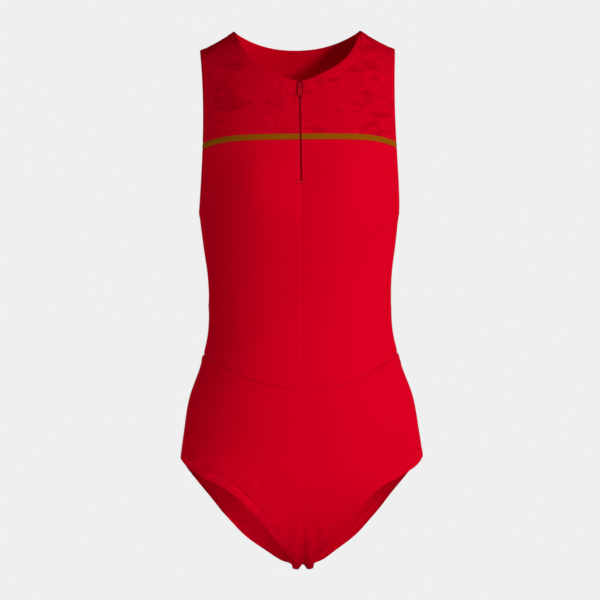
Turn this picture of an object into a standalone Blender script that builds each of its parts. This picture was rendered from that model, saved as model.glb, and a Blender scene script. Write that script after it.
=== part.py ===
"""Running bodysuit, filled out as worn but with no wearer inside it.

Metres, +Z up. The front faces -Y and the wearer's left is +X. The origin lies midway between the two
points where the neckline meets the shoulder seams, which is where the wearer's shoulders carry it.

The whole garment is one surface of two numbers. The level runs from 0 on the shoulder ridge, by 1 at
the underarm and 2 at the top of the leg openings, to 3 on the crotch ridge. The turn runs round the
body from the front centre line, by a quarter turn at the side, to the back centre line. Each panel is
a patch of that surface between its own seams and edges, given its wall along the surface's normal.
"""

import math

import bmesh
import bpy
import numpy as np
from mathutils import Matrix

COLLECTION = "running_bodysuit"

# Driving sizes of the garment.
NECK_HALF_WIDTH = 0.085
SHOULDER_TIP_X = 0.132
SHOULDER_TIP_DROP = 0.026
SHOULDER_SAG = 0.0015
FRONT_NECK_DROP = 0.0755
NECK_ROUNDING = 0.1
BACK_NECK_DROP = 0.0206
UNDERARM_Z = -0.246
UNDERARM_X = 0.1355
ARMHOLE_HOLLOW = 0.0055
LEG_TOP_Z = -0.577
CROTCH_Z = -0.727
STRIP_Z = -0.151
STRIP_WIDTH = 0.0075
STRIP_END_DROP = 0.0105
STRIP_PROUD = 0.0003
HIP_SIDE_Z = -0.437
HIP_FRONT_SAG = 0.0466
HIP_BACK_SAG = 0.018
ZIP_END_Z = -0.212

# Cloth and seams.
CLOTH = 0.0014
TAPE = 0.0009
TAPE_BEHIND = 0.0008
GAP = 0.0003
TAPE_HALF_WIDTH = 0.011
ZIP_HALF_GAP = 0.0012
ZIP_TOP_HALF_GAP = 0.0042
ZIP_PARTED_TO_Z = -0.090
ZIP_CLOSED_FROM_Z = -0.104
TAPE_PARTED_HALF_GAP = 0.0019

# The round of a section: |x / half width| ** SQUARENESS + |y / depth| ** SQUARENESS = 1.
SQUARENESS = 2.3

# Sections of the body, from the shoulders down: height, half width, depth in front and behind.
# Above the underarm the half width comes from the armhole, and domes close the depths at both ends.
SECTIONS = np.array(
    [
        # height, half_width, front_depth, back_depth
        (0.000, 0.1355, 0.116, 0.100),
        (-0.150, 0.1355, 0.117, 0.101),
        (-0.246, 0.1355, 0.116, 0.097),
        (-0.290, 0.1306, 0.107, 0.087),
        (-0.333, 0.1250, 0.096, 0.077),
        (-0.377, 0.1238, 0.089, 0.072),
        (-0.409, 0.1256, 0.090, 0.077),
        (-0.453, 0.1360, 0.096, 0.094),
        (-0.496, 0.1515, 0.101, 0.113),
        (-0.545, 0.1600, 0.104, 0.127),
        (-0.577, 0.1645, 0.103, 0.130),
        (-0.640, 0.1680, 0.100, 0.130),
        (-0.740, 0.1680, 0.100, 0.130),
    ]
)
HEIGHT, HALF_WIDTH, FRONT_DEPTH, BACK_DEPTH = range(4)

# Powers that shape the domes over the shoulders and under the crotch: (curve, closing) each.
SHOULDER_DOME_FRONT = (1.6, 0.50)
SHOULDER_DOME_BACK = (2.2, 0.50)
CROTCH_DOME_FRONT = (2.2, 0.62)
CROTCH_DOME_BACK = (2.6, 0.45)

# Armhole: its edge lies at this share of the section's depth, and rounds off towards the underarm.
ARMHOLE_DEPTH_SHARE = 0.60
ARMHOLE_ROUND_SHARE = 0.45

# Soft fullness of the chest, one mound each side.
CHEST_X = 0.066
CHEST_Z = -0.212
CHEST_SPREAD_X = 0.043
CHEST_SPREAD_Z = 0.052
CHEST_FULLNESS = 0.007

# Leg opening, from the crotch seam to the side: share of the way, turn in degrees, and the height of
# the edge in front and behind.
LEG_EDGE = np.array(
    [
        # share, turn, front_height, back_height
        (0.00, 3.3, -0.7300, -0.7300),
        (0.08, 3.4, -0.7225, -0.7286),
        (0.16, 3.8, -0.7140, -0.7272),
        (0.28, 8.0, -0.6950, -0.7235),
        (0.40, 14.5, -0.6670, -0.7125),
        (0.52, 24.0, -0.6380, -0.6950),
        (0.64, 34.0, -0.6160, -0.6700),
        (0.78, 51.0, -0.5990, -0.6280),
        (0.88, 66.0, -0.5885, -0.6010),
        (0.94, 78.0, -0.5805, -0.5850),
        (1.00, 90.0, -0.5770, -0.5770),
    ]
)
EDGE_SHARE, EDGE_TURN, EDGE_FRONT, EDGE_BACK = range(4)

# A brief is as narrow as its leg edges up to this share of their way, and full at this level.
NARROW_EDGE = 0.66
FULL_LEVEL = 1.5

# The crotch strip: a shallow groove along its middle, and gathers that fan up the front from it.
GROOVE_HALF_WIDTH = 0.010
GROOVE_RISE = 0.002
STRIP_EDGE_FALL = 0.0045
STRIP_CORNER_RISE = 0.0022
STRIP_CORNER_X = (0.0095, 0.0165)
GATHERS_EACH_SIDE = 2
GATHER_DEPTH = 0.0008
GATHER_FOOT_Z = -0.719
GATHER_PEAK_Z = -0.703
GATHER_HEAD_Z = -0.672

# Faces each way.
COLUMNS = 12
CROTCH_COLUMNS = 6
LEG_COLUMNS = 11
ROWS = {"yoke": 8, "strip": 1, "front_brief": 11, "back_brief": 13, "tape": 12}
BODY_ROWS = (6, 12)
BACK_ROWS = (14, 12)

# Zip slider, measured across, up the tape and out from it.
SLIDER_Z = -0.0822
PLATE_HALF_WIDTH = 0.0032
PLATE_HALF_LENGTH = 0.0040
PLATE_THICK = 0.0010
POST_HALF_WIDTH = 0.0011
POST_UP = (0.0008, 0.0032)
ARCH_HALF_WIDTH = 0.0009
ARCH_HALF_LENGTH = 0.0028
ARCH_LEG = 0.0007
ARCH_INSIDE = 0.0026
ARCH_THICK = 0.0007
METAL_BEVEL = 0.0002

# Zip pull: a pin under the arch, two arms beside it and a tab below.
PIN_RADIUS = 0.0005
PIN_OUT = 0.0030
ARM_INSIDE = 0.0012
ARM_OUTSIDE = 0.0022
PULL_THICK = 0.0010
TAB_FROM = 0.0038
TAB_TO = 0.0152
TAB_HALF_WIDTH = 0.0026
TAB_CORNER = 0.0009

RED = (0.68, 0.0, 0.016)
YOKE_RED = (0.50, 0.0, 0.011)
GOLD = (0.27, 0.10, 0.003)
TAPE_RED = (0.24, 0.0, 0.006)
METAL_RED = (0.18, 0.01, 0.012)


def smooth_table(table, key, column, at):
    """A column of a table at the key values asked for, by cubic steps with averaged slopes."""
    order = np.argsort(table[:, key])
    keys = table[order, key]
    values = table[order, column]
    slopes = np.gradient(values, keys)
    at = np.clip(at, keys[0], keys[-1])
    low = np.clip(np.searchsorted(keys, at, side="right") - 1, 0, len(keys) - 2)
    span = keys[low + 1] - keys[low]
    part = (at - keys[low]) / span
    return (
        values[low] * (1 + 2 * part) * (1 - part) ** 2
        + slopes[low] * span * part * (1 - part) ** 2
        + values[low + 1] * part**2 * (3 - 2 * part)
        + slopes[low + 1] * span * part**2 * (part - 1)
    )


def smooth_step(low, high, value):
    """0 below low, 1 above high, with level ends."""
    part = np.clip((value - low) / (high - low), 0, 1)
    return part * part * (3 - 2 * part)


def rise_and_fall(level):
    """How far a level is up the shoulder dome and down the crotch dome, each 0 to 1."""
    rise = 1 - np.clip(level, 0, 1) ** 2
    fall = 1 - np.clip(3 - level, 0, 1) ** 2
    return rise, fall


def plain_height(level):
    """Height of a level before the shoulders and the crotch bend it."""
    rise, fall = rise_and_fall(level)
    body = np.clip(level - 1, 0, 1)
    return UNDERARM_Z * (1 - rise) + (LEG_TOP_Z - UNDERARM_Z) * body + (CROTCH_Z - LEG_TOP_Z) * fall


def ridge_height(x):
    """Height of the shoulder ridge, which carries on as a low crown over the open neck."""
    across = np.abs(x)
    down = (across - NECK_HALF_WIDTH) / (SHOULDER_TIP_X - NECK_HALF_WIDTH)
    sag = SHOULDER_SAG * np.sin(np.pi * np.clip(down, 0, 1))
    shoulder = -SHOULDER_TIP_DROP * down - sag
    slope = (SHOULDER_TIP_DROP + np.pi * SHOULDER_SAG) / (SHOULDER_TIP_X - NECK_HALF_WIDTH)
    crown = slope * (NECK_HALF_WIDTH**2 - across**2) / (2 * NECK_HALF_WIDTH)
    return np.where(across > NECK_HALF_WIDTH, shoulder, crown)


def crotch_bend(x):
    """How far the crotch ridge stands above its plain height: a groove between two hanging lobes."""
    part = np.clip(np.abs(x) / GROOVE_HALF_WIDTH, 0, 1)
    groove = GROOVE_RISE - (GROOVE_RISE + STRIP_EDGE_FALL) * (1 - np.cos(np.pi * part)) / 2
    return groove + STRIP_CORNER_RISE * smooth_step(*STRIP_CORNER_X, np.abs(x))


def level_at(x, z):
    """The level of a point seen at x and z, from the two quadratics that bend the domes."""
    reach = -UNDERARM_Z
    above = np.maximum(z - UNDERARM_Z, 0)
    rise = 2 * above / (reach + np.sqrt(reach**2 + 4 * ridge_height(x) * above))
    upper = np.sqrt(np.clip(1 - rise, 0, 1))
    body = 1 + (UNDERARM_Z - z) / (UNDERARM_Z - LEG_TOP_Z)
    depth = LEG_TOP_Z - CROTCH_Z
    below = np.maximum(LEG_TOP_Z - z, 0)
    fall = 2 * below / (depth + np.sqrt(depth**2 - 4 * crotch_bend(x) * below))
    lower = 3 - np.sqrt(np.clip(1 - fall, 0, 1))
    return np.where(z > UNDERARM_Z, upper, np.where(z < LEG_TOP_Z, lower, body))


def armhole_share(level):
    """Share of the section's depth at which the armhole edge lies, 0 at the underarm and below it."""
    rise, _ = rise_and_fall(level)
    part = np.clip(rise / ARMHOLE_ROUND_SHARE, 0, 1)
    return ARMHOLE_DEPTH_SHARE * np.sqrt(1 - (1 - part) ** 2)


def edge_turn(level):
    """Turn of the armhole edge, a quarter turn from the underarm down."""
    return np.arccos(armhole_share(level) ** (SQUARENESS / 2))


def half_width(level):
    """Half width of a section. Above the underarm it puts the armhole edge at its own x."""
    rise, _ = rise_and_fall(level)
    edge_x = UNDERARM_X + (SHOULDER_TIP_X - UNDERARM_X) * rise - 4 * ARMHOLE_HOLLOW * rise * (1 - rise)
    armhole = edge_x / (1 - armhole_share(level) ** SQUARENESS) ** (1 / SQUARENESS)
    body = smooth_table(SECTIONS, HEIGHT, HALF_WIDTH, plain_height(level))
    return np.where(level < 1, armhole, body)


def depth(level, column, shoulder_dome, crotch_dome):
    """Depth of a section in front or behind: the table's, closed by the two domes."""
    rise, fall = rise_and_fall(level)
    top = (1 - rise ** shoulder_dome[0]) ** shoulder_dome[1]
    bottom = (1 - fall ** crotch_dome[0]) ** crotch_dome[1]
    return smooth_table(SECTIONS, HEIGHT, column, plain_height(level)) * top * bottom


def leg_reach(z):
    """Half width of the front brief between the leg edges at a height."""
    turns = np.radians(LEG_EDGE[:, EDGE_TURN])
    reach = SECTIONS[-1, HALF_WIDTH] * np.sin(turns) ** (2 / SQUARENESS)
    order = np.argsort(LEG_EDGE[:, EDGE_FRONT])
    return np.interp(z, LEG_EDGE[order, EDGE_FRONT], reach[order])


def gathers(x, z):
    """Small gathers that fan up the front from the crotch seam."""
    fade = smooth_step(GATHER_FOOT_Z, GATHER_PEAK_Z, z) * (1 - smooth_step(GATHER_PEAK_Z, GATHER_HEAD_Z, z))
    share = np.abs(x) / leg_reach(z)
    return GATHER_DEPTH * fade * (1 - smooth_step(0.5, 0.85, share)) * np.cos(2 * np.pi * GATHERS_EACH_SIDE * share)


def chest(x, z):
    """Soft fullness of the chest."""
    across = (np.abs(x) - CHEST_X) / CHEST_SPREAD_X
    up = (z - CHEST_Z) / CHEST_SPREAD_Z
    return CHEST_FULLNESS * np.exp(-(across**2) - up**2)


def cloth_point(level, turn):
    """The garment's outer surface: a rounded section at each level, bent at both ends."""
    level, turn = np.broadcast_arrays(np.asarray(level, float), np.asarray(turn, float))
    side = np.sin(turn)
    ahead = np.cos(turn)
    x = half_width(level) * np.sign(side) * np.abs(side) ** (2 / SQUARENESS)
    rise, fall = rise_and_fall(level)
    z = plain_height(level) + ridge_height(x) * rise**2 + crotch_bend(x) * fall**2
    round_share = np.abs(ahead) ** (2 / SQUARENESS)
    front = depth(level, FRONT_DEPTH, SHOULDER_DOME_FRONT, CROTCH_DOME_FRONT) + chest(x, z) + gathers(x, z)
    back = depth(level, BACK_DEPTH, SHOULDER_DOME_BACK, CROTCH_DOME_BACK)
    y = np.where(ahead > 0, -front, back) * round_share
    return np.stack([x, y, z], axis=-1)


def cloth_normal(level, turn):
    """Outward normal of the surface, from small steps along the level and round the turn."""
    step = 0.002
    level = np.clip(level, 2 * step, 3 - 2 * step)
    down = cloth_point(level + step, turn) - cloth_point(level - step, turn)
    round_ = cloth_point(level, turn + step) - cloth_point(level, turn - step)
    normal = np.cross(round_, -down)
    return normal / np.linalg.norm(normal, axis=-1, keepdims=True)


def neckline(x):
    """Front neckline: a V, rounded at its foot and curving up to the neck points."""
    part = np.clip(np.abs(x) / NECK_HALF_WIDTH, 0, 1)
    part = (np.hypot(part, NECK_ROUNDING) - NECK_ROUNDING) / (math.hypot(1, NECK_ROUNDING) - NECK_ROUNDING)
    return -FRONT_NECK_DROP * (1 - 0.5 * part - 0.5 * part**5)


def back_neckline(x):
    """Back neckline: a shallow arc."""
    part = np.clip(np.abs(x) / NECK_HALF_WIDTH, 0, 1)
    return -BACK_NECK_DROP * (1 - part**2.2)


def yoke_seam(x):
    """Middle of the contrast strip: level in the middle, falling off towards the armholes."""
    return STRIP_Z - STRIP_END_DROP * (np.abs(x) / SHOULDER_TIP_X) ** 6


def hip_seam(sag):
    """Hip seam, level with the side seam's foot and sagging towards the middle."""
    side_x = half_width(level_at(UNDERARM_X, HIP_SIDE_Z))

    def height(x):
        return HIP_SIDE_Z - sag * (1 - (x / side_x) ** 2)

    return height


def zip_edge(z):
    """Half the gap between the two fronts: a seam below the zip, parted cloth at its top."""
    closed = GAP / 2 + (ZIP_HALF_GAP - GAP / 2) * smooth_step(ZIP_END_Z - 0.004, ZIP_END_Z + 0.002, z)
    return closed + (ZIP_TOP_HALF_GAP - ZIP_HALF_GAP) * smooth_step(ZIP_CLOSED_FROM_Z, ZIP_PARTED_TO_Z, z)


def share_at(level, x):
    """The share of the way from the centre line to the armhole edge or side at which x lies."""
    return np.arcsin(np.clip(x / half_width(level), 0, 1) ** (SQUARENESS / 2)) / edge_turn(level)


def level_on(height, share, start):
    """Levels of the points at the given shares on a curve that gives height from x."""
    level = np.full_like(share, float(start))
    for _ in range(12):
        x = cloth_point(level, share * edge_turn(level))[..., 0]
        level = level_at(x, height(x))
    return level


def ruled(top, bottom, down):
    """Levels and shares of a patch between a top and a bottom curve, each (levels, shares)."""
    down = np.asarray(down)[:, None]
    return tuple(upper + (lower - upper) * down for upper, lower in zip(top, bottom))


def even_rows(rows):
    return np.linspace(0, 1, rows + 1)


def armhole_rows(top, bottom, rows):
    """Rows that close up towards the underarm, where the armhole edge turns, and are even below it."""
    above, below = rows
    underarm = (1 - top[0][-1]) / (bottom[0][-1] - top[0][-1])
    closing = underarm * (1 - (1 - np.linspace(0, 1, above + 1)) ** 1.8)
    return np.concatenate([closing, np.linspace(underarm, 1, below + 1)[1:]])


def patch_points(levels, shares, behind=False, inner_edge=None, out=0.0):
    """Points and normals of a patch. An inner edge keeps it clear of the centre line."""
    turns = shares * edge_turn(levels)
    if inner_edge is not None:
        middle = cloth_point(levels, turns * 0)[..., 2]
        inner = share_at(levels, inner_edge(middle)) * edge_turn(levels)
        turns = inner + (edge_turn(levels) - inner) * shares
    if behind:
        turns = np.sign(shares) * np.pi - turns
        turns = np.where(shares == 0, np.pi, turns)
    points = cloth_point(levels, turns)
    normals = cloth_normal(levels, turns)
    # Front and back stand half a gap off the shoulder, side and crotch seams.
    points[..., 1] += GAP / 2 if behind else -GAP / 2
    return points + normals * out, normals


def wall_mesh(name, outer, inner):
    """A closed wall between two grids of points, with its four edges."""
    rows, columns = outer.shape[:2]
    points = np.concatenate([outer.reshape(-1, 3), inner.reshape(-1, 3)])
    index = np.arange(rows * columns).reshape(rows, columns)
    rim = np.concatenate([index[0], index[1:, -1], index[-1, -2::-1], index[-2:0:-1, 0]])
    far = rows * columns
    face = np.stack([index[:-1, :-1], index[1:, :-1], index[1:, 1:], index[:-1, 1:]], axis=-1).reshape(-1, 4)
    following = np.roll(rim, -1)
    edge = np.stack([rim, following, following + far, rim + far], axis=-1)
    faces = np.concatenate([face, face[:, ::-1] + far, edge])
    mesh = bpy.data.meshes.new(name)
    mesh.from_pydata(points.tolist(), [], faces.tolist())
    finish_mesh(mesh)
    return mesh


def finish_mesh(mesh):
    """Turn every face outwards and shade the mesh smooth between its sharp edges."""
    build = bmesh.new()
    build.from_mesh(mesh)
    bmesh.ops.recalc_face_normals(build, faces=build.faces)
    build.to_mesh(mesh)
    build.free()
    mesh.shade_smooth()
    mesh.set_sharp_from_angle(angle=math.radians(40))


def material(name, colour, roughness, metallic=0.0):
    made = bpy.data.materials.new(name)
    made.use_nodes = True
    shader = made.node_tree.nodes["Principled BSDF"]
    shader.inputs["Base Color"].default_value = (*colour, 1)
    shader.inputs["Roughness"].default_value = roughness
    shader.inputs["Metallic"].default_value = metallic
    return made


def add_object(mesh, collection, finish):
    obj = bpy.data.objects.new(mesh.name, mesh)
    collection.objects.link(obj)
    mesh.materials.append(finish)
    return obj


def add_panel(name, patch, collection, finish, thick=CLOTH, mirrored=False, **placing):
    """A cloth panel: the patch and the same patch one thickness further in."""
    outer, normals = patch_points(*patch, **placing)
    inner = outer - normals * thick
    if mirrored:
        outer = outer * (-1, 1, 1)
        inner = inner * (-1, 1, 1)
    return add_object(wall_mesh(name, outer, inner), collection, finish)


def shares_from(first, last, columns):
    return np.linspace(first, last, columns + 1)


def across_both(half):
    """A curve from the centre out, carried over to the other side of it."""
    levels, shares = half
    return np.concatenate([levels[:0:-1], levels]), np.concatenate([-shares[:0:-1], shares])


def neck_and_shoulder(neck_height, columns):
    """Top curve of a front or back: the neckline, then the shoulder ridge."""
    neck_share = share_at(0.0, NECK_HALF_WIDTH)
    neck_columns = round(columns * NECK_HALF_WIDTH / SHOULDER_TIP_X)
    neck = shares_from(0, neck_share, neck_columns)
    shoulder = shares_from(neck_share, 1, columns - neck_columns)[1:]
    levels = np.concatenate([level_on(neck_height, neck, 0.4), np.zeros_like(shoulder)])
    levels[neck_columns] = 0
    return levels, np.concatenate([neck, shoulder])


def leg_edge(column, along):
    """Levels and turns along a leg edge, from the crotch seam at 0 to the side at 1."""
    turns = np.radians(smooth_table(LEG_EDGE, EDGE_SHARE, EDGE_TURN, along))
    heights = smooth_table(LEG_EDGE, EDGE_SHARE, column, along)
    x = SECTIONS[-1, HALF_WIDTH] * np.sin(turns) ** (2 / SQUARENESS)
    return level_at(x, heights), turns


def brief_bottom(column):
    """Bottom curve of a brief: half the crotch seam, then the leg edge up to the side."""
    corner = math.radians(LEG_EDGE[0, EDGE_TURN])
    seam = shares_from(0, corner, CROTCH_COLUMNS)
    levels, turns = leg_edge(column, shares_from(0, 1, LEG_COLUMNS)[1:])
    return np.concatenate([np.full_like(seam, 3.0), levels]), np.concatenate([seam, turns]) / (np.pi / 2)


def brief_top(sag):
    shares = np.concatenate([shares_from(0, 0.30, CROTCH_COLUMNS), shares_from(0.30, 1, LEG_COLUMNS)[1:]])
    seam = hip_seam(sag)
    return level_on(lambda x: seam(x) - GAP / 2, shares, 1.6), shares


def brief_patch(sag, column, rows):
    """A brief between its hip seam and its bottom curve. Its rows narrow with the leg edges, so that
    none of them runs over an edge."""
    top = across_both(brief_top(sag))
    bottom = across_both(brief_bottom(column))
    edge_levels, edge_turns = leg_edge(column, np.linspace(0, NARROW_EDGE, 24))
    edge_crowding = np.pi / 2 / edge_turns
    steep = (edge_crowding[-2] - edge_crowding[-1]) / (edge_levels[-2] - edge_levels[-1])
    reach = edge_levels[-1] - 2
    gentle = (edge_crowding[-1] - steep * reach / 2 - 1) / (reach / 2 + 2 - FULL_LEVEL)
    drop = np.linspace(0, reach, 9)[1:]
    easing = edge_crowding[-1] - steep * drop + (steep - gentle) * drop**2 / (2 * reach)
    levels_up = np.concatenate([edge_levels, edge_levels[-1] - drop, [FULL_LEVEL]])[::-1]
    crowding_up = np.concatenate([edge_crowding, easing, [1]])[::-1]

    def crowding(levels):
        return np.interp(levels, levels_up, crowding_up)

    inside = [(levels, shares * crowding(levels)) for levels, shares in (top, bottom)]
    levels, parts = ruled(*inside, even_rows(rows))
    return levels, parts / crowding(levels)


def add_fronts(collection, cloth, yoke_cloth, gold, tape_cloth):
    """The yoke, the contrast strip, the body and the zip tape of each side."""
    top = neck_and_shoulder(neckline, COLUMNS)
    shares = top[1]
    half_strip = STRIP_WIDTH / 2
    strip_top = level_on(lambda x: yoke_seam(x) + half_strip, shares, 0.8), shares
    strip_bottom = level_on(lambda x: yoke_seam(x) - half_strip, shares, 0.8), shares
    yoke_foot = level_on(lambda x: yoke_seam(x) + half_strip + GAP, shares, 0.8), shares
    body_top = level_on(lambda x: yoke_seam(x) - half_strip - GAP, shares, 0.8), shares
    seam = hip_seam(HIP_FRONT_SAG)
    body_foot = level_on(lambda x: seam(x) + GAP / 2, shares, 1.6), shares
    yoke = ruled(top, yoke_foot, even_rows(ROWS["yoke"]))
    strip = ruled(strip_top, strip_bottom, even_rows(ROWS["strip"]))
    body = ruled(body_top, body_foot, armhole_rows(body_top, body_foot, BODY_ROWS))
    for side, mirrored in (("left", False), ("right", True)):
        add_panel(f"front_yoke_{side}", yoke, collection, yoke_cloth, mirrored=mirrored, inner_edge=zip_edge)
        add_panel(
            f"yoke_strip_{side}", strip, collection, gold, mirrored=mirrored, inner_edge=zip_edge, out=STRIP_PROUD
        )
        add_panel(f"front_body_{side}", body, collection, cloth, mirrored=mirrored, inner_edge=zip_edge)
        add_tape(f"zip_tape_{side}", collection, tape_cloth, mirrored)


def tape_edge(z):
    """Half the gap between the tapes: a hair below the slider, parted round its post and above."""
    foot = SLIDER_Z - PLATE_HALF_LENGTH
    return GAP / 2 + (TAPE_PARTED_HALF_GAP - GAP / 2) * smooth_step(foot, SLIDER_Z, z)


def add_tape(name, collection, finish, mirrored):
    """One zip tape, lying close behind the fronts."""
    heights = np.linspace(neckline(TAPE_HALF_WIDTH) - GAP, ZIP_END_Z, ROWS["tape"] + 1)
    heights = np.sort(np.append(heights, [SLIDER_Z, SLIDER_Z - PLATE_HALF_LENGTH]))[::-1]
    across = np.linspace(0, 1, 3)
    inner = tape_edge(heights)[:, None]
    x = inner + (TAPE_HALF_WIDTH - inner) * across
    levels = level_at(x, heights[:, None] + 0 * x)
    turns = share_at(levels, x) * edge_turn(levels)
    points = cloth_point(levels, turns)
    normals = cloth_normal(levels, turns)
    points[..., 1] -= GAP / 2
    mirror = (-1, 1, 1) if mirrored else (1, 1, 1)
    outer = (points - normals * (CLOTH + TAPE_BEHIND)) * mirror
    inner = (points - normals * (CLOTH + TAPE_BEHIND + TAPE)) * mirror
    add_object(wall_mesh(name, outer, inner), collection, finish)


def add_back(collection, cloth):
    """The back body, in one piece from the neck and shoulders to the hip seam."""
    top = neck_and_shoulder(back_neckline, COLUMNS)
    seam = hip_seam(HIP_BACK_SAG)
    foot = level_on(lambda x: seam(x) + GAP / 2, top[1], 1.6), top[1]
    patch = ruled(across_both(top), across_both(foot), armhole_rows(top, foot, BACK_ROWS))
    add_panel("back_body", patch, collection, cloth, behind=True)


def add_briefs(collection, cloth):
    """The front and the back brief, each in one piece from the hip seam to the crotch seam."""
    for name, sag, column, behind in (
        ("front_brief", HIP_FRONT_SAG, EDGE_FRONT, False),
        ("back_brief", HIP_BACK_SAG, EDGE_BACK, True),
    ):
        add_panel(name, brief_patch(sag, column, ROWS[name]), collection, cloth, behind=behind)


def slider_frame():
    """Place of the slider: on the tape's outer face, its second axis up it and its third out of it."""
    level = level_at(np.array(0.0), np.array(SLIDER_Z))
    point = cloth_point(level, np.array(0.0))
    normal = cloth_normal(level, np.array(0.0))
    normal[0] = 0
    normal /= np.linalg.norm(normal)
    place = point - normal * (CLOTH + TAPE_BEHIND) + np.array([0, -GAP / 2, 0])
    up = np.array([0, normal[2], -normal[1]])
    across = np.cross(up, normal)
    frame = np.eye(4)
    frame[:3, 0] = across
    frame[:3, 1] = up
    frame[:3, 2] = normal
    frame[:3, 3] = place
    return Matrix(frame.tolist())


def add_block(build, across, up, out, bevel=0.0):
    """A block between low and high values on each axis of the slider's frame."""
    spans = (across, up, out)
    made = bmesh.ops.create_cube(build, size=1)["verts"]
    for vert in made:
        for axis, (low, high) in enumerate(spans):
            vert.co[axis] = low + (vert.co[axis] + 0.5) * (high - low)
    if bevel:
        edges = list({edge for vert in made for edge in vert.link_edges})
        bmesh.ops.bevel(build, geom=edges, offset=bevel, segments=1, affect="EDGES")


def block_object(name, spans, bevel=0.0):
    """A loose block object, to be joined to another by a Boolean union."""
    mesh = bpy.data.meshes.new(name)
    build = bmesh.new()
    add_block(build, *spans, bevel=bevel)
    build.to_mesh(mesh)
    build.free()
    return bpy.data.objects.new(name, mesh)


def united(name, first, others, helpers, finish, collection):
    """The first block with the others joined to it by Boolean unions."""
    collection.objects.link(first)
    first.name = name
    first.data.name = name
    first.data.materials.append(finish)
    for other in others:
        helpers.objects.link(other)
        other.hide_render = True
        other.display_type = "WIRE"
        join = first.modifiers.new(other.name, "BOOLEAN")
        join.operation = "UNION"
        join.object = other
    return first


def add_slider(collection, helpers, finish):
    """Slider: a plate on each side of the tapes, a post between them and an arch for the pull."""
    width = (-PLATE_HALF_WIDTH, PLATE_HALF_WIDTH)
    length = (-PLATE_HALF_LENGTH, PLATE_HALF_LENGTH)
    front = GAP + PLATE_THICK
    behind = -TAPE - GAP - PLATE_THICK
    reach = front + ARCH_INSIDE
    narrow = (-ARCH_HALF_WIDTH, ARCH_HALF_WIDTH)
    bite = PLATE_THICK / 2
    foot = (-ARCH_HALF_LENGTH, -ARCH_HALF_LENGTH + ARCH_LEG)
    head = (ARCH_HALF_LENGTH - ARCH_LEG, ARCH_HALF_LENGTH)
    plate = block_object("slider_front_plate", (width, length, (GAP, front)), METAL_BEVEL)
    others = [
        block_object(
            "slider_post",
            ((-POST_HALF_WIDTH, POST_HALF_WIDTH), POST_UP, (behind + bite, front - bite)),
        ),
        block_object("slider_back_plate", (width, length, (behind, behind + PLATE_THICK)), METAL_BEVEL),
        block_object("slider_arch_foot", (narrow, foot, (front - bite, reach + ARCH_THICK / 2))),
        block_object("slider_arch_head", (narrow, head, (front - bite, reach + ARCH_THICK / 2))),
        block_object(
            "slider_arch_top",
            (narrow, (-ARCH_HALF_LENGTH, ARCH_HALF_LENGTH), (reach, reach + ARCH_THICK)),
        ),
    ]
    slider = united("zip_slider", plate, others, helpers, finish, collection)
    frame = slider_frame()
    for obj in [slider, *others]:
        obj.matrix_world = frame
    return slider


def add_pull(collection, finish):
    """Pull: pin, arms and tab, with its origin on the pin's axis."""
    tab = [
        (TAB_HALF_WIDTH - TAB_CORNER, -TAB_TO),
        (TAB_HALF_WIDTH, -TAB_TO + TAB_CORNER),
        (TAB_HALF_WIDTH, -TAB_FROM - TAB_CORNER / 2),
        (ARM_OUTSIDE, -TAB_FROM + TAB_CORNER / 2),
        (ARM_OUTSIDE, PIN_RADIUS),
        (ARM_INSIDE, PIN_RADIUS),
        (ARM_INSIDE, -PIN_RADIUS),
        (ARM_INSIDE, -TAB_FROM),
    ]
    half = PULL_THICK / 2
    build = bmesh.new()
    # One side's outline of the tab and its arm, mirrored to the other side. The pin joins the arms.
    outline = tab + [(-across, up) for across, up in reversed(tab)]
    low = [build.verts.new((across, up, -half)) for across, up in outline]
    high = [build.verts.new((across, up, half)) for across, up in outline]
    count = len(outline)
    pin_ends = ((5, 6), (9, 10))
    for start in range(count):
        follow = (start + 1) % count
        if (start, follow) not in pin_ends:
            build.faces.new((low[start], low[follow], high[follow], high[start]))
    for a, b in ((5, 10), (6, 9)):
        build.faces.new((low[a], low[b], high[b], high[a]))
    for ring in (low, high):
        build.faces.new([ring[i] for i in (0, 1, 2, 3, 7, 8, 12, 13, 14, 15)])
        build.faces.new([ring[i] for i in (3, 4, 5, 6, 7)])
        build.faces.new([ring[i] for i in (8, 9, 10, 11, 12)])
        build.faces.new([ring[i] for i in (5, 6, 9, 10)])
    bmesh.ops.triangulate(build, faces=build.faces)
    mesh = bpy.data.meshes.new("zip_pull")
    build.to_mesh(mesh)
    build.free()
    finish_mesh(mesh)
    pull = add_object(mesh, collection, finish)
    pull.matrix_world = slider_frame() @ Matrix.Translation((0, 0, PIN_OUT))
    return pull


def clear_scene():
    for obj in list(bpy.data.objects):
        bpy.data.objects.remove(obj, do_unlink=True)


def main():
    clear_scene()
    collection = bpy.data.collections.new(COLLECTION)
    helpers = bpy.data.collections.new("cutters")
    for made in (collection, helpers):
        bpy.context.scene.collection.children.link(made)
    cloth = material("red_satin_knit", RED, 0.45)
    yoke_cloth = material("printed_yoke_knit", YOKE_RED, 0.55)
    gold = material("gold_strip", GOLD, 0.6)
    tape_cloth = material("zip_tape", TAPE_RED, 0.7)
    metal = material("lacquered_metal", METAL_RED, 0.35, 0.8)
    add_fronts(collection, cloth, yoke_cloth, gold, tape_cloth)
    add_back(collection, cloth)
    add_briefs(collection, cloth)
    add_slider(collection, helpers, metal)
    add_pull(collection, metal)


main()
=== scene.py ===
"""Looks of the running bodysuit: fine cloth shells, stitching, zip and studio round the fixed frame.

Metres, +Z up, the front facing -Y and the wearer's left at +X. Each cloth panel is a patch of one
garment surface, given by a level from the shoulders (0), by the underarm (1) and the top of the leg
openings (2), to the crotch (3), and by a turn round the body from the front centre line.
"""

import math

import bmesh
import bpy
import numpy as np
from mathutils import Matrix, Vector


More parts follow.
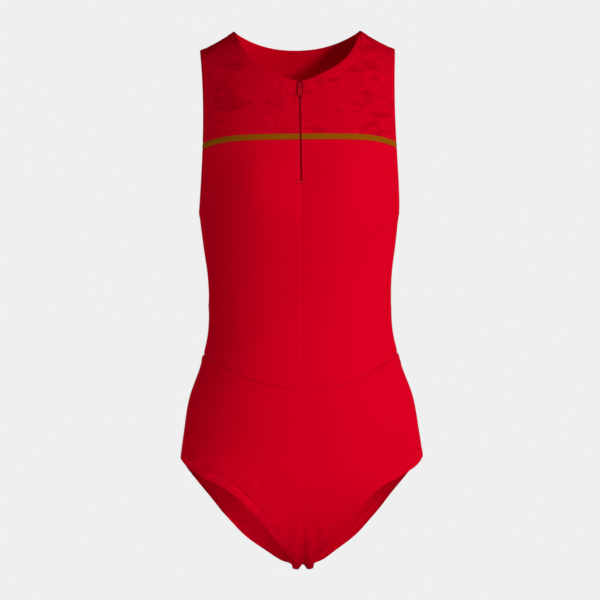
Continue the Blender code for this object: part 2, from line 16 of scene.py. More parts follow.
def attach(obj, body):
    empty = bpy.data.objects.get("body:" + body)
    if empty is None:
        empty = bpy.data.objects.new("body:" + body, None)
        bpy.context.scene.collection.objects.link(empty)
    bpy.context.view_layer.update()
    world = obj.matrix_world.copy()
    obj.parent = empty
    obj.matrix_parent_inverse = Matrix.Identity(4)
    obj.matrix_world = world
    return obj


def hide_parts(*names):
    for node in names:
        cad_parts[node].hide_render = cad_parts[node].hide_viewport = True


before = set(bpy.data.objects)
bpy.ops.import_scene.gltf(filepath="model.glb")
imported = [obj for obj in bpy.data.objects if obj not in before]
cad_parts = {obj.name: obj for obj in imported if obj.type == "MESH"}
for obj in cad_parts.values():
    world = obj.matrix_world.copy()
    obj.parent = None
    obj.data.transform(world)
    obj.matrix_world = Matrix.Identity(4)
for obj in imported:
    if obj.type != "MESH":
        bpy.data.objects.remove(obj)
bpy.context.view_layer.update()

bl_info = {
    "name": "Running bodysuit looks",
    "version": (1, 0, 0),
    "blender": (4, 5, 0),
    "location": "3D View > Sidebar > Bodysuit",
    "description": "Builds the cloth, stitching, zip and studio of a running bodysuit",
    "category": "Object",
}

GARMENT = "garment"

# Sizes of the cut, as in the frame's solids.
NECK_HALF_WIDTH = 0.085
SHOULDER_TIP_X = 0.132
SHOULDER_TIP_DROP = 0.026
SHOULDER_SAG = 0.0015
FRONT_NECK_DROP = 0.0755
NECK_ROUNDING = 0.1
NECK_CURVE_POWER = 5
BACK_NECK_DROP = 0.0206
BACK_NECK_POWER = 2.2
UNDERARM_Z = -0.246
UNDERARM_X = 0.1355
ARMHOLE_HOLLOW = 0.0055
LEG_TOP_Z = -0.577
CROTCH_Z = -0.727
STRIP_Z = -0.151
STRIP_WIDTH = 0.0075
STRIP_END_DROP = 0.0105
STRIP_END_POWER = 6
HIP_SIDE_Z = -0.437
HIP_FRONT_SAG = 0.0466
HIP_BACK_SAG = 0.018
ZIP_END_Z = -0.212
ZIP_FOOT_RUN = 0.004
ZIP_FOOT_OPENING = 0.002
CAD_CLOTH = 0.0014
TAPE = 0.0009
TAPE_BEHIND = 0.0008
TAPE_HALF_WIDTH = 0.011
ZIP_HALF_GAP = 0.0012
ZIP_TOP_HALF_GAP = 0.0042
ZIP_PARTED_TO_Z = -0.090
ZIP_CLOSED_FROM_Z = -0.104
TAPE_PARTED_HALF_GAP = 0.0019
SLIDER_Z = -0.0822
SLIDER_HALF_LENGTH = 0.0040
SQUARENESS = 2.3
SECTIONS = np.array(
    [
        # height, half_width, front_depth, back_depth
        (0.000, 0.1355, 0.116, 0.100),
        (-0.150, 0.1355, 0.117, 0.101),
        (-0.246, 0.1355, 0.116, 0.097),
        (-0.290, 0.1306, 0.107, 0.087),
        (-0.333, 0.1250, 0.096, 0.077),
        (-0.377, 0.1238, 0.089, 0.072),
        (-0.409, 0.1256, 0.090, 0.077),
        (-0.453, 0.1360, 0.096, 0.094),
        (-0.496, 0.1515, 0.101, 0.113),
        (-0.545, 0.1600, 0.104, 0.127),
        (-0.577, 0.1645, 0.103, 0.130),
        (-0.640, 0.1680, 0.100, 0.130),
        (-0.740, 0.1680, 0.100, 0.130),
    ]
)
HEIGHT, HALF_WIDTH, FRONT_DEPTH, BACK_DEPTH = range(4)
SHOULDER_DOME_FRONT = (1.6, 0.50)
SHOULDER_DOME_BACK = (2.2, 0.50)
CROTCH_DOME_FRONT = (2.2, 0.62)
CROTCH_DOME_BACK = (2.6, 0.45)
ARMHOLE_DEPTH_SHARE = 0.60
ARMHOLE_ROUND_SHARE = 0.45
CHEST_X = 0.066
CHEST_Z = -0.212
CHEST_SPREAD_X = 0.043
CHEST_SPREAD_Z = 0.052
CHEST_FULLNESS = 0.007
LEG_EDGE = np.array(
    [
        # share, turn, front_height, back_height
        (0.00, 3.3, -0.7300, -0.7300),
        (0.08, 3.4, -0.7225, -0.7286),
        (0.16, 3.8, -0.7140, -0.7272),
        (0.28, 8.0, -0.6950, -0.7235),
        (0.40, 14.5, -0.6670, -0.7125),
        (0.52, 24.0, -0.6380, -0.6950),
        (0.64, 34.0, -0.6160, -0.6700),
        (0.78, 51.0, -0.5990, -0.6280),
        (0.88, 66.0, -0.5885, -0.6010),
        (0.94, 78.0, -0.5805, -0.5850),
        (1.00, 90.0, -0.5770, -0.5770),
    ]
)
EDGE_SHARE, EDGE_TURN, EDGE_FRONT, EDGE_BACK = range(4)
NARROW_EDGE = 0.66
FULL_LEVEL = 1.5
GROOVE_HALF_WIDTH = 0.0065
GROOVE_RISE = 0.002
STRIP_EDGE_FALL = 0.0045
STRIP_CORNER_RISE = 0.0022
STRIP_CORNER_X = (0.0095, 0.0165)
GATHERS_EACH_SIDE = 2
GATHER_DEPTH = 0.0008
GATHER_FOOT_Z = -0.719
GATHER_PEAK_Z = -0.703
GATHER_HEAD_Z = -0.672

# Creases and small bumps laid on the cloth. Heights, x and sizes in metres, lean in degrees
# from upright, and which face of the garment they lie on.
CREASES = np.array(
    [
        # x, z, lean, length, width, depth, behind
        (-0.022, -0.084, 42, 0.013, 0.0028, 0.0005, 0),
        (-0.034, -0.077, 50, 0.016, 0.0030, 0.0004, 0),
        (0.019, -0.086, -38, 0.012, 0.0026, 0.0005, 0),
        (0.030, -0.078, -48, 0.015, 0.0030, 0.0004, 0),
        (-0.010, -0.098, 15, 0.012, 0.0024, -0.0004, 0),
        (0.011, -0.100, -12, 0.013, 0.0024, -0.0004, 0),
        (-0.020, -0.675, 12, 0.034, 0.0030, -0.0006, 0),
        (-0.012, -0.690, 8, 0.026, 0.0024, 0.0006, 0),
        (-0.003, -0.684, 2, 0.030, 0.0022, -0.0005, 0),
        (0.006, -0.692, -5, 0.024, 0.0022, 0.0006, 0),
        (0.014, -0.680, -10, 0.030, 0.0026, -0.0006, 0),
        (0.024, -0.668, -16, 0.032, 0.0032, 0.0005, 0),
        (-0.030, -0.664, 20, 0.030, 0.0034, 0.0005, 0),
        (-0.118, -0.255, -60, 0.022, 0.0050, 0.0006, 0),
        (0.120, -0.258, 62, 0.024, 0.0052, 0.0006, 0),
        (-0.112, -0.272, -55, 0.026, 0.0060, -0.0005, 0),
        (0.113, -0.276, 57, 0.024, 0.0058, -0.0005, 0),
        (-0.122, -0.452, -66, 0.022, 0.0050, 0.0006, 0),
        (0.124, -0.455, 64, 0.024, 0.0052, 0.0006, 0),
        (-0.116, -0.462, -64, 0.030, 0.0060, -0.0005, 0),
        (-0.132, -0.606, -62, 0.030, 0.0060, 0.0006, 0),
        (0.135, -0.604, 62, 0.028, 0.0060, 0.0006, 0),
        (-0.016, -0.690, 6, 0.034, 0.0032, -0.0007, 1),
        (-0.004, -0.684, 1, 0.040, 0.0030, 0.0006, 1),
        (0.009, -0.692, -5, 0.034, 0.0030, -0.0006, 1),
        (0.022, -0.680, -13, 0.036, 0.0034, 0.0006, 1),
        (-0.098, -0.380, -74, 0.050, 0.0080, 0.0008, 1),
        (0.094, -0.388, 72, 0.054, 0.0085, 0.0008, 1),
        (-0.070, -0.402, -80, 0.060, 0.0090, -0.0009, 1),
        (0.066, -0.410, 79, 0.056, 0.0088, -0.0009, 1),
        (0.010, -0.424, 88, 0.070, 0.0090, 0.0007, 1),
        (-0.112, -0.262, -58, 0.030, 0.0060, 0.0007, 1),
        (0.114, -0.266, 60, 0.028, 0.0060, 0.0007, 1),
        (-0.104, -0.655, 44, 0.036, 0.0060, 0.0007, 1),
        (0.106, -0.650, -44, 0.034, 0.0060, 0.0007, 1),
    ]
)
CREASE_X, CREASE_Z, LEAN, LENGTH, WIDTH, DEPTH, BEHIND = range(7)

# How far stitching lies in from each open edge and beside each seam, and between twin rows.
NECK_HEM = 0.0120
ARM_HEM = 0.0085
LEG_HEM = 0.0100
HIP_STITCH = 0.0017
SHOULDER_STITCH = 0.0022
DEPTH_OF_ONE_LEVEL = 0.11
ARM_ROW_GAP = 0.0018
LEG_ROW_GAP = 0.0020
THREAD_FLATNESS = 0.8

# Where each line of stitches starts and ends on its curve.
FRONT_NECK_START = 0.06
NECK_END_SHARE = 0.97
ARMHOLE_START = 0.05
LEG_START = 0.20
SIDE_LEVELS = (1.01, 1.99)
SHOULDER_INSET = 0.002

# Gap at a closed seam, finer than between the solids, so that no light shows through it.
GAP = 0.00006

# How turned edges and seams shape the cloth.
HEM_STEP = (-0.001, 0.0015)
HEM_TROUGH = 0.0016
HEM_SINK_SHARE = 0.8
PUCKER_HEIGHT = 0.00011
PUCKER_REACH = 0.0045
PUCKER_WAVES = ((310, 1.0, 0.0), (787, 0.6, 1.3), (1310, 0.5, 0.4))
SEAM_RIDGE = 0.00028
HIP_FOLD_RISE = 0.0060
STRIP_HEIGHT = 0.0004
STRIP_ROUNDING = 1.05
RIM_BULGE = GAP / 6
FOLD_SHARE = 0.55
SHARP_ANGLE = 62

# Width of a seam's trough, and its strength as a share of the usual seam's.
SEAM = (0.0016, 1.0)
HIP_SEAM = (0.0026, 1.6)
HIP_FOLD = (0.0022, 0.8)
BACK_HIP_SEAM = (0.0026, 1.4)
BRIEF_HIP_SEAM = (0.0030, 2.4)
CENTRE_SEAM = (0.0014, 0.8)

# Lengths that set how many faces a panel has, and what each whole panel's cut measures laid flat.
PANEL_WIDTH = 0.145
YOKE_LENGTH = 0.15
STRIP_ROWS = 6
FRONT_LENGTH = 0.32
BACK_LENGTH = 0.44
BRIEF_LENGTH = 0.27
CROTCH_COLUMNS = 16
LEG_COLUMNS = 46
CROTCH_TOP_SHARE = 0.30
ROW_CLOSING = 1.8

# Where the search for a curve's levels starts, its rounds, and how many distances are found at once.
NECK_START = 0.4
YOKE_START = 0.8
HIP_START = 1.6
SEARCH_ROUNDS = 12
PAIRS_AT_ONCE = 1500000

# Grains of the zip: length, width and height of a tooth and of an end stitch.
TOOTH = (0.0026, 0.0011, 0.0009)
TOOTH_X = 0.0009
TOOTH_OVER_TAPE = 0.0004
END_STITCH = (0.0030, 0.0006, 0.0006)
END_STITCHES = 24
END_HALF_WIDTH = 0.0058
END_RISE = 0.001
END_LIFT = 0.0001

# Photo's framing.
SIGHT_HEIGHT = -0.3658
SIGHT_DISTANCE = 3.0
FRAME_WIDTH = 0.816
SENSOR = 36.0
VIEW_TURN = -1.6
VIEW_ROLL = 0.6

# Studio.
FLOOR_HALF_SIDE = 3.4
FLOOR_Z = -1.3
FLOOR_SHADE = 0.15
SURROUNDINGS = 0.18
GARMENT_MIDDLE = (0, 0, SIGHT_HEIGHT)
LAMPS = (
    # name, place, width, power, aim, spread
    ("key_high", (1.0, -2.7, -0.12), 0.35, 38, GARMENT_MIDDLE, 180),
    ("key_low", (-0.25, -0.9, -1.0), 0.25, 0.6, GARMENT_MIDDLE, 180),
    ("leg_fill", (-0.55, -1.7, -0.85), 0.12, 0.05, (-0.125, 0.03, -0.70), 11),
    ("side", (2.2, -1.1, 0.3), 1.0, 22, GARMENT_MIDDLE, 180),
    ("low", (-0.2, -2.0, -1.25), 0.9, 7, GARMENT_MIDDLE, 180),
    ("rim_left", (-1.9, 1.4, -0.2), 0.8, 20, GARMENT_MIDDLE, 180),
    ("rim_right", (1.5, 1.1, -0.1), 0.7, 12, GARMENT_MIDDLE, 180),
)


def length_property(name, description, value, **limits):
    return bpy.props.FloatProperty(
        name=name, description=description, default=value, unit="LENGTH", **limits
    )


class SuitSizes(bpy.types.PropertyGroup):
    """Sizes that a user would change."""

    cloth: length_property("Cloth", "Thickness of the knit", 0.0011, min=0.0006, max=0.0014)
    face: length_property("Face size", "Usual side of a mesh face", 0.0024, min=0.0015)
    hem_rise: length_property("Hem rise", "How far a turned edge stands proud", 0.0003)
    seam_sink: length_property("Seam sink", "How far a seam draws the cloth in", 0.0006)
    stitch: length_property("Stitch", "Length of one stitch", 0.0024)
    stitch_pitch: length_property("Stitch pitch", "Distance between stitches", 0.0031)
    thread: length_property("Thread", "Width of a stitch", 0.00035)
    tooth_pitch: length_property("Zip pitch", "Distance between zip teeth", 0.0013)


def colour_property(name, description, value):
    return bpy.props.FloatVectorProperty(
        name=name, description=description, default=value, size=3, min=0, max=1, subtype="COLOR"
    )


class SuitColours(bpy.types.PropertyGroup):
    """Colours that a user would change, as linear values."""

    red: colour_property("Red", "Main knit", (0.74, 0.0, 0.017))
    # Deep red: a darker tone for the threads and clouds, and painted shade between the ribs of the main
    # knit.
    red_deep: colour_property("Deep red", "Between the ribs of the main knit", (0.57, 0.0, 0.011))
    yoke: colour_property("Yoke red", "Ground of the yoke's print", (0.66, 0.0, 0.015))
    yoke_dark: colour_property("Yoke dark", "Dark flecks of the yoke's print", (0.34, 0.0, 0.007))
    gold: colour_property("Gold", "Contrast strip", (0.33, 0.095, 0.001))
    tape: colour_property("Tape", "Zip tape and teeth", (0.40, 0.0, 0.011))
    lacquer: colour_property("Lacquer", "Zip slider and pull", (0.56, 0.0, 0.014))
    floor: colour_property("Floor", "Floor and background", (0.863, 0.863, 0.863))


def sizes():
    return bpy.context.scene.suit_sizes


def colours():
    return bpy.context.scene.suit_colours


def smooth_table(table, key, column, at):
    """A column of a table at the keys asked for: cubic steps whose end slopes are the averaged ones."""
    order = np.argsort(table[:, key])
    keys = table[order, key]
    values = table[order, column]
    slopes = np.gradient(values, keys)
    at = np.clip(at, keys[0], keys[-1])
    low = np.clip(np.searchsorted(keys, at, side="right") - 1, 0, len(keys) - 2)
    span = keys[low + 1] - keys[low]
    part = (at - keys[low]) / span
    return (
        values[low] * (1 + 2 * part) * (1 - part) ** 2
        + slopes[low] * span * part * (1 - part) ** 2
        + values[low + 1] * part**2 * (3 - 2 * part)
        + slopes[low + 1] * span * part**2 * (part - 1)
    )


def smooth_step(low, high, value):
    """0 below low, 1 above high, and the cubic with level ends between."""
    part = np.clip((value - low) / (high - low), 0, 1)
    return part * part * (3 - 2 * part)


def rise_and_fall(level):
    """How far up the shoulder dome and down the crotch dome: one less the level's square, each."""
    return 1 - np.clip(level, 0, 1) ** 2, 1 - np.clip(3 - level, 0, 1) ** 2


def plain_height(level):
    """Height before the domes bend it: three straight runs of the rise, the level and the fall."""
    rise, fall = rise_and_fall(level)
    body = np.clip(level - 1, 0, 1)
    return UNDERARM_Z * (1 - rise) + (LEG_TOP_Z - UNDERARM_Z) * body + (CROTCH_Z - LEG_TOP_Z) * fall


def ridge_height(x):
    """The shoulder ridge: a parabola over the open neck, then a straight fall with a slight sag."""
    across = np.abs(x)
    down = (across - NECK_HALF_WIDTH) / (SHOULDER_TIP_X - NECK_HALF_WIDTH)
    sag = SHOULDER_SAG * np.sin(np.pi * np.clip(down, 0, 1))
    shoulder = -SHOULDER_TIP_DROP * down - sag
    slope = (SHOULDER_TIP_DROP + np.pi * SHOULDER_SAG) / (SHOULDER_TIP_X - NECK_HALF_WIDTH)
    crown = slope * (NECK_HALF_WIDTH**2 - across**2) / (2 * NECK_HALF_WIDTH)
    return np.where(across > NECK_HALF_WIDTH, shoulder, crown)


def crotch_bend(x):
    """The crotch ridge over its plain height: a cosine groove between two hanging edges."""
    part = np.clip(np.abs(x) / GROOVE_HALF_WIDTH, 0, 1)
    groove = GROOVE_RISE - (GROOVE_RISE + STRIP_EDGE_FALL) * (1 - np.cos(np.pi * part)) / 2
    return groove + STRIP_CORNER_RISE * smooth_step(*STRIP_CORNER_X, np.abs(x))


def level_at(x, z):
    """The level of a point seen at x and z: the roots of the two quadratics that bend the domes."""
    reach = -UNDERARM_Z
    above = np.maximum(z - UNDERARM_Z, 0)
    rise = 2 * above / (reach + np.sqrt(reach**2 + 4 * ridge_height(x) * above))
    upper = np.sqrt(np.clip(1 - rise, 0, 1))
    body = 1 + (UNDERARM_Z - z) / (UNDERARM_Z - LEG_TOP_Z)
    deep = LEG_TOP_Z - CROTCH_Z
    below = np.maximum(LEG_TOP_Z - z, 0)
    fall = 2 * below / (deep + np.sqrt(deep**2 - 4 * crotch_bend(x) * below))
    lower = 3 - np.sqrt(np.clip(1 - fall, 0, 1))
    return np.where(z > UNDERARM_Z, upper, np.where(z < LEG_TOP_Z, lower, body))


def armhole_share(level):
    """Share of the depth at which the armhole edge lies: even, then a quarter circle to 0."""
    rise, _ = rise_and_fall(level)
    part = np.clip(rise / ARMHOLE_ROUND_SHARE, 0, 1)
    return ARMHOLE_DEPTH_SHARE * np.sqrt(1 - (1 - part) ** 2)


def edge_turn(level):
    """Turn of the armhole edge, and a quarter turn from the underarm down."""
    return np.arccos(armhole_share(level) ** (SQUARENESS / 2))


def half_width(level):
    """Half width of a section: the table's, or above the underarm what the armhole's x asks for."""
    rise, _ = rise_and_fall(level)
    edge_x = UNDERARM_X + (SHOULDER_TIP_X - UNDERARM_X) * rise - 4 * ARMHOLE_HOLLOW * rise * (1 - rise)
    armhole = edge_x / (1 - armhole_share(level) ** SQUARENESS) ** (1 / SQUARENESS)
    body = smooth_table(SECTIONS, HEIGHT, HALF_WIDTH, plain_height(level))
    return np.where(level < 1, armhole, body)


def section_depth(level, column, shoulder_dome, crotch_dome):
    """Depth of a section: the table's, times a closing power of each dome."""
    rise, fall = rise_and_fall(level)
    top = (1 - rise ** shoulder_dome[0]) ** shoulder_dome[1]
    bottom = (1 - fall ** crotch_dome[0]) ** crotch_dome[1]
    return smooth_table(SECTIONS, HEIGHT, column, plain_height(level)) * top * bottom


def leg_reach(z):
    """Half width of the front brief between the leg edges at a height."""
    reach = SECTIONS[-1, HALF_WIDTH] * np.sin(np.radians(LEG_EDGE[:, EDGE_TURN])) ** (2 / SQUARENESS)
    order = np.argsort(LEG_EDGE[:, EDGE_FRONT])
    return np.interp(z, LEG_EDGE[order, EDGE_FRONT], reach[order])


def gathers(x, z):
    """Cosine gathers that fan up the front from the crotch and fade out."""
    fade = smooth_step(GATHER_FOOT_Z, GATHER_PEAK_Z, z) * (1 - smooth_step(GATHER_PEAK_Z, GATHER_HEAD_Z, z))
    share = np.abs(x) / leg_reach(z)
    wave = np.cos(2 * np.pi * GATHERS_EACH_SIDE * share)
    return GATHER_DEPTH * fade * (1 - smooth_step(0.5, 0.85, share)) * wave


def chest(x, z):
    """Soft fullness of the chest: a Gaussian mound each side."""
    across = (np.abs(x) - CHEST_X) / CHEST_SPREAD_X
    up = (z - CHEST_Z) / CHEST_SPREAD_Z
    return CHEST_FULLNESS * np.exp(-(across**2) - up**2)


def cloth_point(level, turn):
    """The garment's surface: superellipse sections, x from the turn's sine and y from its cosine."""
    level, turn = np.broadcast_arrays(np.asarray(level, float), np.asarray(turn, float))
    side = np.sin(turn)
    ahead = np.cos(turn)
    x = half_width(level) * np.sign(side) * np.abs(side) ** (2 / SQUARENESS)
    rise, fall = rise_and_fall(level)
    z = plain_height(level) + ridge_height(x) * rise**2 + crotch_bend(x) * fall**2
    round_share = np.abs(ahead) ** (2 / SQUARENESS)
    front = section_depth(level, FRONT_DEPTH, SHOULDER_DOME_FRONT, CROTCH_DOME_FRONT)
    back = section_depth(level, BACK_DEPTH, SHOULDER_DOME_BACK, CROTCH_DOME_BACK)
    front = front + chest(x, z) + gathers(x, z)
    y = np.where(ahead > 0, -front, back) * round_share
    return np.stack([x, y, z], axis=-1)


def surface_steps(level, turn):
    """How the surface moves for one unit of level and of turn, by small central differences."""
    step = 0.002
    level = np.clip(level, 2 * step, 3 - 2 * step)
    down = (cloth_point(level + step, turn) - cloth_point(level - step, turn)) / (2 * step)
    around = (cloth_point(level, turn + step) - cloth_point(level, turn - step)) / (2 * step)
    return down, around


def unit(vectors):
    return vectors / np.maximum(np.linalg.norm(vectors, axis=-1, keepdims=True), 1e-12)


def cloth_normal(level, turn):
    """Outward normal: across the two steps."""
    down, around = surface_steps(level, turn)
    return unit(np.cross(around, -down))


def neckline(x):
    """Front neckline, a V rounded at its foot by a hyperbola, curving up to the neck points."""
    part = np.clip(np.abs(x) / NECK_HALF_WIDTH, 0, 1)
    part = (np.hypot(part, NECK_ROUNDING) - NECK_ROUNDING) / (math.hypot(1, NECK_ROUNDING) - NECK_ROUNDING)
    return -FRONT_NECK_DROP * (1 - 0.5 * part - 0.5 * part**NECK_CURVE_POWER)


def back_neckline(x):
    """Back neckline, a shallow arc."""
    part = np.clip(np.abs(x) / NECK_HALF_WIDTH, 0, 1)
    return -BACK_NECK_DROP * (1 - part**BACK_NECK_POWER)


def yoke_seam(x):
    """Middle of the contrast strip: level, falling with the sixth power towards the armholes."""
    return STRIP_Z - STRIP_END_DROP * (np.abs(x) / SHOULDER_TIP_X) ** STRIP_END_POWER


def hip_height(x, sag):
    """Hip seam: a parabola from the side seams' feet, sagging in the middle."""
    side_x = half_width(level_at(UNDERARM_X, HIP_SIDE_Z))
    return HIP_SIDE_Z - sag * (1 - (x / side_x) ** 2)


def zip_edge(z):
    """Half the gap between the fronts: a seam, then the zip's line, then parted cloth at its top."""
    foot = smooth_step(ZIP_END_Z - ZIP_FOOT_RUN, ZIP_END_Z + ZIP_FOOT_OPENING, z)
    closed = GAP / 2 + (ZIP_HALF_GAP - GAP / 2) * foot
    return closed + (ZIP_TOP_HALF_GAP - ZIP_HALF_GAP) * smooth_step(ZIP_CLOSED_FROM_Z, ZIP_PARTED_TO_Z, z)


def tape_edge(z):
    """Half the gap between the zip tapes: a hair below the slider, parted above it."""
    foot = SLIDER_Z - SLIDER_HALF_LENGTH
    return GAP / 2 + (TAPE_PARTED_HALF_GAP - GAP / 2) * smooth_step(foot, SLIDER_Z, z)


def turn_at(level, x):
    """Turn of a point of the front at x."""
    part = np.clip(np.abs(x) / half_width(level), 0, 1)
    return np.sign(x) * np.arcsin(part ** (SQUARENESS / 2))


def share_at(level, x):
    """Share of the way from the centre line to the armhole edge or side at which x lies."""
    return turn_at(level, x) / edge_turn(level)


def level_on(height, share, start):
    """Levels of points with given shares on a curve of height over x, by repeated substitution."""
    level = np.full_like(share, float(start))
    for _ in range(SEARCH_ROUNDS):
        x = cloth_point(level, share * edge_turn(level))[..., 0]
        level = level_at(x, height(x))
    return level


def evenly(first, last, count):
    return np.linspace(first, last, count + 1)


def across_both(half):
    """A curve from the centre line out, carried over to its other side."""
    levels, shares = half
    return np.concatenate([levels[:0:-1], levels]), np.concatenate([-shares[:0:-1], shares])


def neck_and_shoulder(height, columns):
    """Top curve of a front or back: neckline, then shoulder ridge. Gives the neck's column too."""
    neck_share = float(share_at(0.0, NECK_HALF_WIDTH))
    neck_columns = round(columns * NECK_HALF_WIDTH / SHOULDER_TIP_X)
    neck = evenly(0, neck_share, neck_columns)
    shoulder = evenly(neck_share, 1, columns - neck_columns)[1:]
    levels = np.concatenate([level_on(height, neck, NECK_START), np.zeros_like(shoulder)])
    levels[neck_columns] = 0
    return (levels, np.concatenate([neck, shoulder])), neck_columns


def leg_edge(column, along):
    """Levels and turns along a leg edge, from the crotch seam at 0 to the side at 1."""
    turns = np.radians(smooth_table(LEG_EDGE, EDGE_SHARE, EDGE_TURN, along))
    heights = smooth_table(LEG_EDGE, EDGE_SHARE, column, along)
    x = SECTIONS[-1, HALF_WIDTH] * np.sin(turns) ** (2 / SQUARENESS)
    return level_at(x, heights), turns


def brief_patch(sag, column, rows):
    """A brief between its hip seam and its bottom curve, which is half the crotch seam and a leg edge
    each side. Its rows narrow with the leg edges, so that none of them runs over an edge."""
    corner = math.radians(LEG_EDGE[0, EDGE_TURN])
    seam = evenly(0, corner, CROTCH_COLUMNS)
    levels, turns = leg_edge(column, evenly(0, 1, LEG_COLUMNS)[1:])
    bottom_levels = np.concatenate([np.full_like(seam, 3.0), levels])
    bottom = across_both((bottom_levels, np.concatenate([seam, turns]) / (np.pi / 2)))
    over_crotch = evenly(0, CROTCH_TOP_SHARE, CROTCH_COLUMNS)
    shares = np.concatenate([over_crotch, evenly(CROTCH_TOP_SHARE, 1, LEG_COLUMNS)[1:]])
    top = across_both((level_on(lambda x: hip_height(x, sag) - GAP / 2, shares, HIP_START), shares))
    edge_levels, edge_turns = leg_edge(column, np.linspace(0, NARROW_EDGE, 160))
    edge_crowding = np.pi / 2 / edge_turns
    steep = (edge_crowding[-2] - edge_crowding[-1]) / (edge_levels[-2] - edge_levels[-1])
    reach = edge_levels[-1] - 2
    gentle = (edge_crowding[-1] - steep * reach / 2 - 1) / (reach / 2 + 2 - FULL_LEVEL)
    drop = np.linspace(0, reach, 33)[1:]
    easing = edge_crowding[-1] - steep * drop + (steep - gentle) * drop**2 / (2 * reach)
    levels_up = np.concatenate([edge_levels, edge_levels[-1] - drop, [FULL_LEVEL]])[::-1]
    crowding_up = np.concatenate([edge_crowding, easing, [1]])[::-1]

    def crowding(at):
        return np.interp(at, levels_up, crowding_up)

    inside = [(curve[0], curve[1] * crowding(curve[0])) for curve in (top, bottom)]
    levels, parts = ruled(*inside, evenly(0, 1, rows))
    return levels, parts / crowding(levels)


def armhole_rows(top, bottom, above, below):
    """Row shares that close up towards the underarm and are even below it."""
    underarm = (1 - top[0][-1]) / (bottom[0][-1] - top[0][-1])
    closing = underarm * (1 - (1 - evenly(0, 1, above)) ** ROW_CLOSING)
    return np.concatenate([closing, evenly(underarm, 1, below)[1:]])


def ruled(top, bottom, down):
    """Levels and shares on straight lines from a top curve to a bottom curve."""
    down = np.asarray(down)[:, None]
    return [upper + (lower - upper) * down for upper, lower in zip(top, bottom)]


def patch_turns(levels, shares, behind=False, inner_edge=None):
    """Turns of a patch, kept off the centre line by its inner edge and carried round to the back."""
    turns = shares * edge_turn(levels)
    if inner_edge is not None:
        middle = cloth_point(levels, turns * 0)[..., 2]
        inner = turn_at(levels, inner_edge(middle))
        turns = inner + (edge_turn(levels) - inner) * shares
    if behind:
        turns = np.where(shares == 0, np.pi, np.sign(shares) * np.pi - turns)
    return turns


def nearest_on(points, line):
    """Distance of each point from a line of points, and how far along the line its foot lies."""
    start = line[:-1]
    along = line[1:] - start
    length = np.linalg.norm(along, axis=1)
    walked = np.concatenate([[0], np.cumsum(length)[:-1]])
    flat = points.reshape(-1, 3)
    distance = np.empty(len(flat))
    foot = np.empty(len(flat))
    blocks = max(1, len(flat) * len(line) // PAIRS_AT_ONCE)
    for block in np.array_split(np.arange(len(flat)), blocks):
        away = flat[block, None, :] - start
        part = np.clip((away * along).sum(-1) / np.maximum(length**2, 1e-12), 0, 1)
        gap = np.linalg.norm(away - part[..., None] * along, axis=-1)
        best = gap.argmin(axis=1)
        rows = np.arange(len(block))
        distance[block] = gap[rows, best]
        foot[block] = walked[best] + part[rows, best] * length[best]
    return distance.reshape(points.shape[:-1]), foot.reshape(points.shape[:-1])


def crease_relief(points, behind=False):
    """Sum of the listed creases: Gaussian across, and a fourth-power fade along each."""
    total = np.zeros(points.shape[:-1])
    for row in CREASES[CREASES[:, BEHIND] == behind]:
        lean = math.radians(row[LEAN])
        right = points[..., 0] - row[CREASE_X]
        up = points[..., 2] - row[CREASE_Z]
        along = right * math.sin(lean) + up * math.cos(lean)
        across = right * math.cos(lean) - up * math.sin(lean)
        total += row[DEPTH] * np.exp(-((across / row[WIDTH]) ** 2) - (along / row[LENGTH]) ** 4)
    return total


def hem_relief(points, line, hem):
    """A turned edge: proud up to its stitching, drawn in along it, with small puckers beside it."""
    distance, foot = nearest_on(points, line)
    proud = sizes().hem_rise * (1 - smooth_step(hem + HEM_STEP[0], hem + HEM_STEP[1], distance))
    drawn = -sizes().seam_sink * HEM_SINK_SHARE * np.exp(-(((distance - hem) / HEM_TROUGH) ** 2))
    wander = sum(height * np.sin(foot * wave + start) for wave, height, start in PUCKER_WAVES)
    puckers = PUCKER_HEIGHT * wander * np.exp(-(((distance - hem) / PUCKER_REACH) ** 2))
    return proud + drawn + puckers


def seam_relief(distance, seam=SEAM):
    """Cloth drawn in at a seam, a Gaussian trough, with a low soft ridge over the turned edge each side."""
    width, strength = seam
    ridges = SEAM_RIDGE * np.exp(-(((np.abs(distance) - 2.2 * width) / (1.1 * width)) ** 2))
    return strength * (ridges - sizes().seam_sink * np.exp(-((distance / (0.8 * width)) ** 2)))


def smooth_object(mesh, finish):
    """An object of a mesh's own name: faces turned outwards, shaded smoothly, in its finish."""
    build = bmesh.new()
    build.from_mesh(mesh)
    bmesh.ops.recalc_face_normals(build, faces=build.faces)
    build.to_mesh(mesh)
    build.free()
    mesh.shade_smooth()
    mesh.materials.append(finish)
    obj = bpy.data.objects.new(mesh.name, mesh)
    bpy.context.scene.collection.objects.link(obj)
    return obj


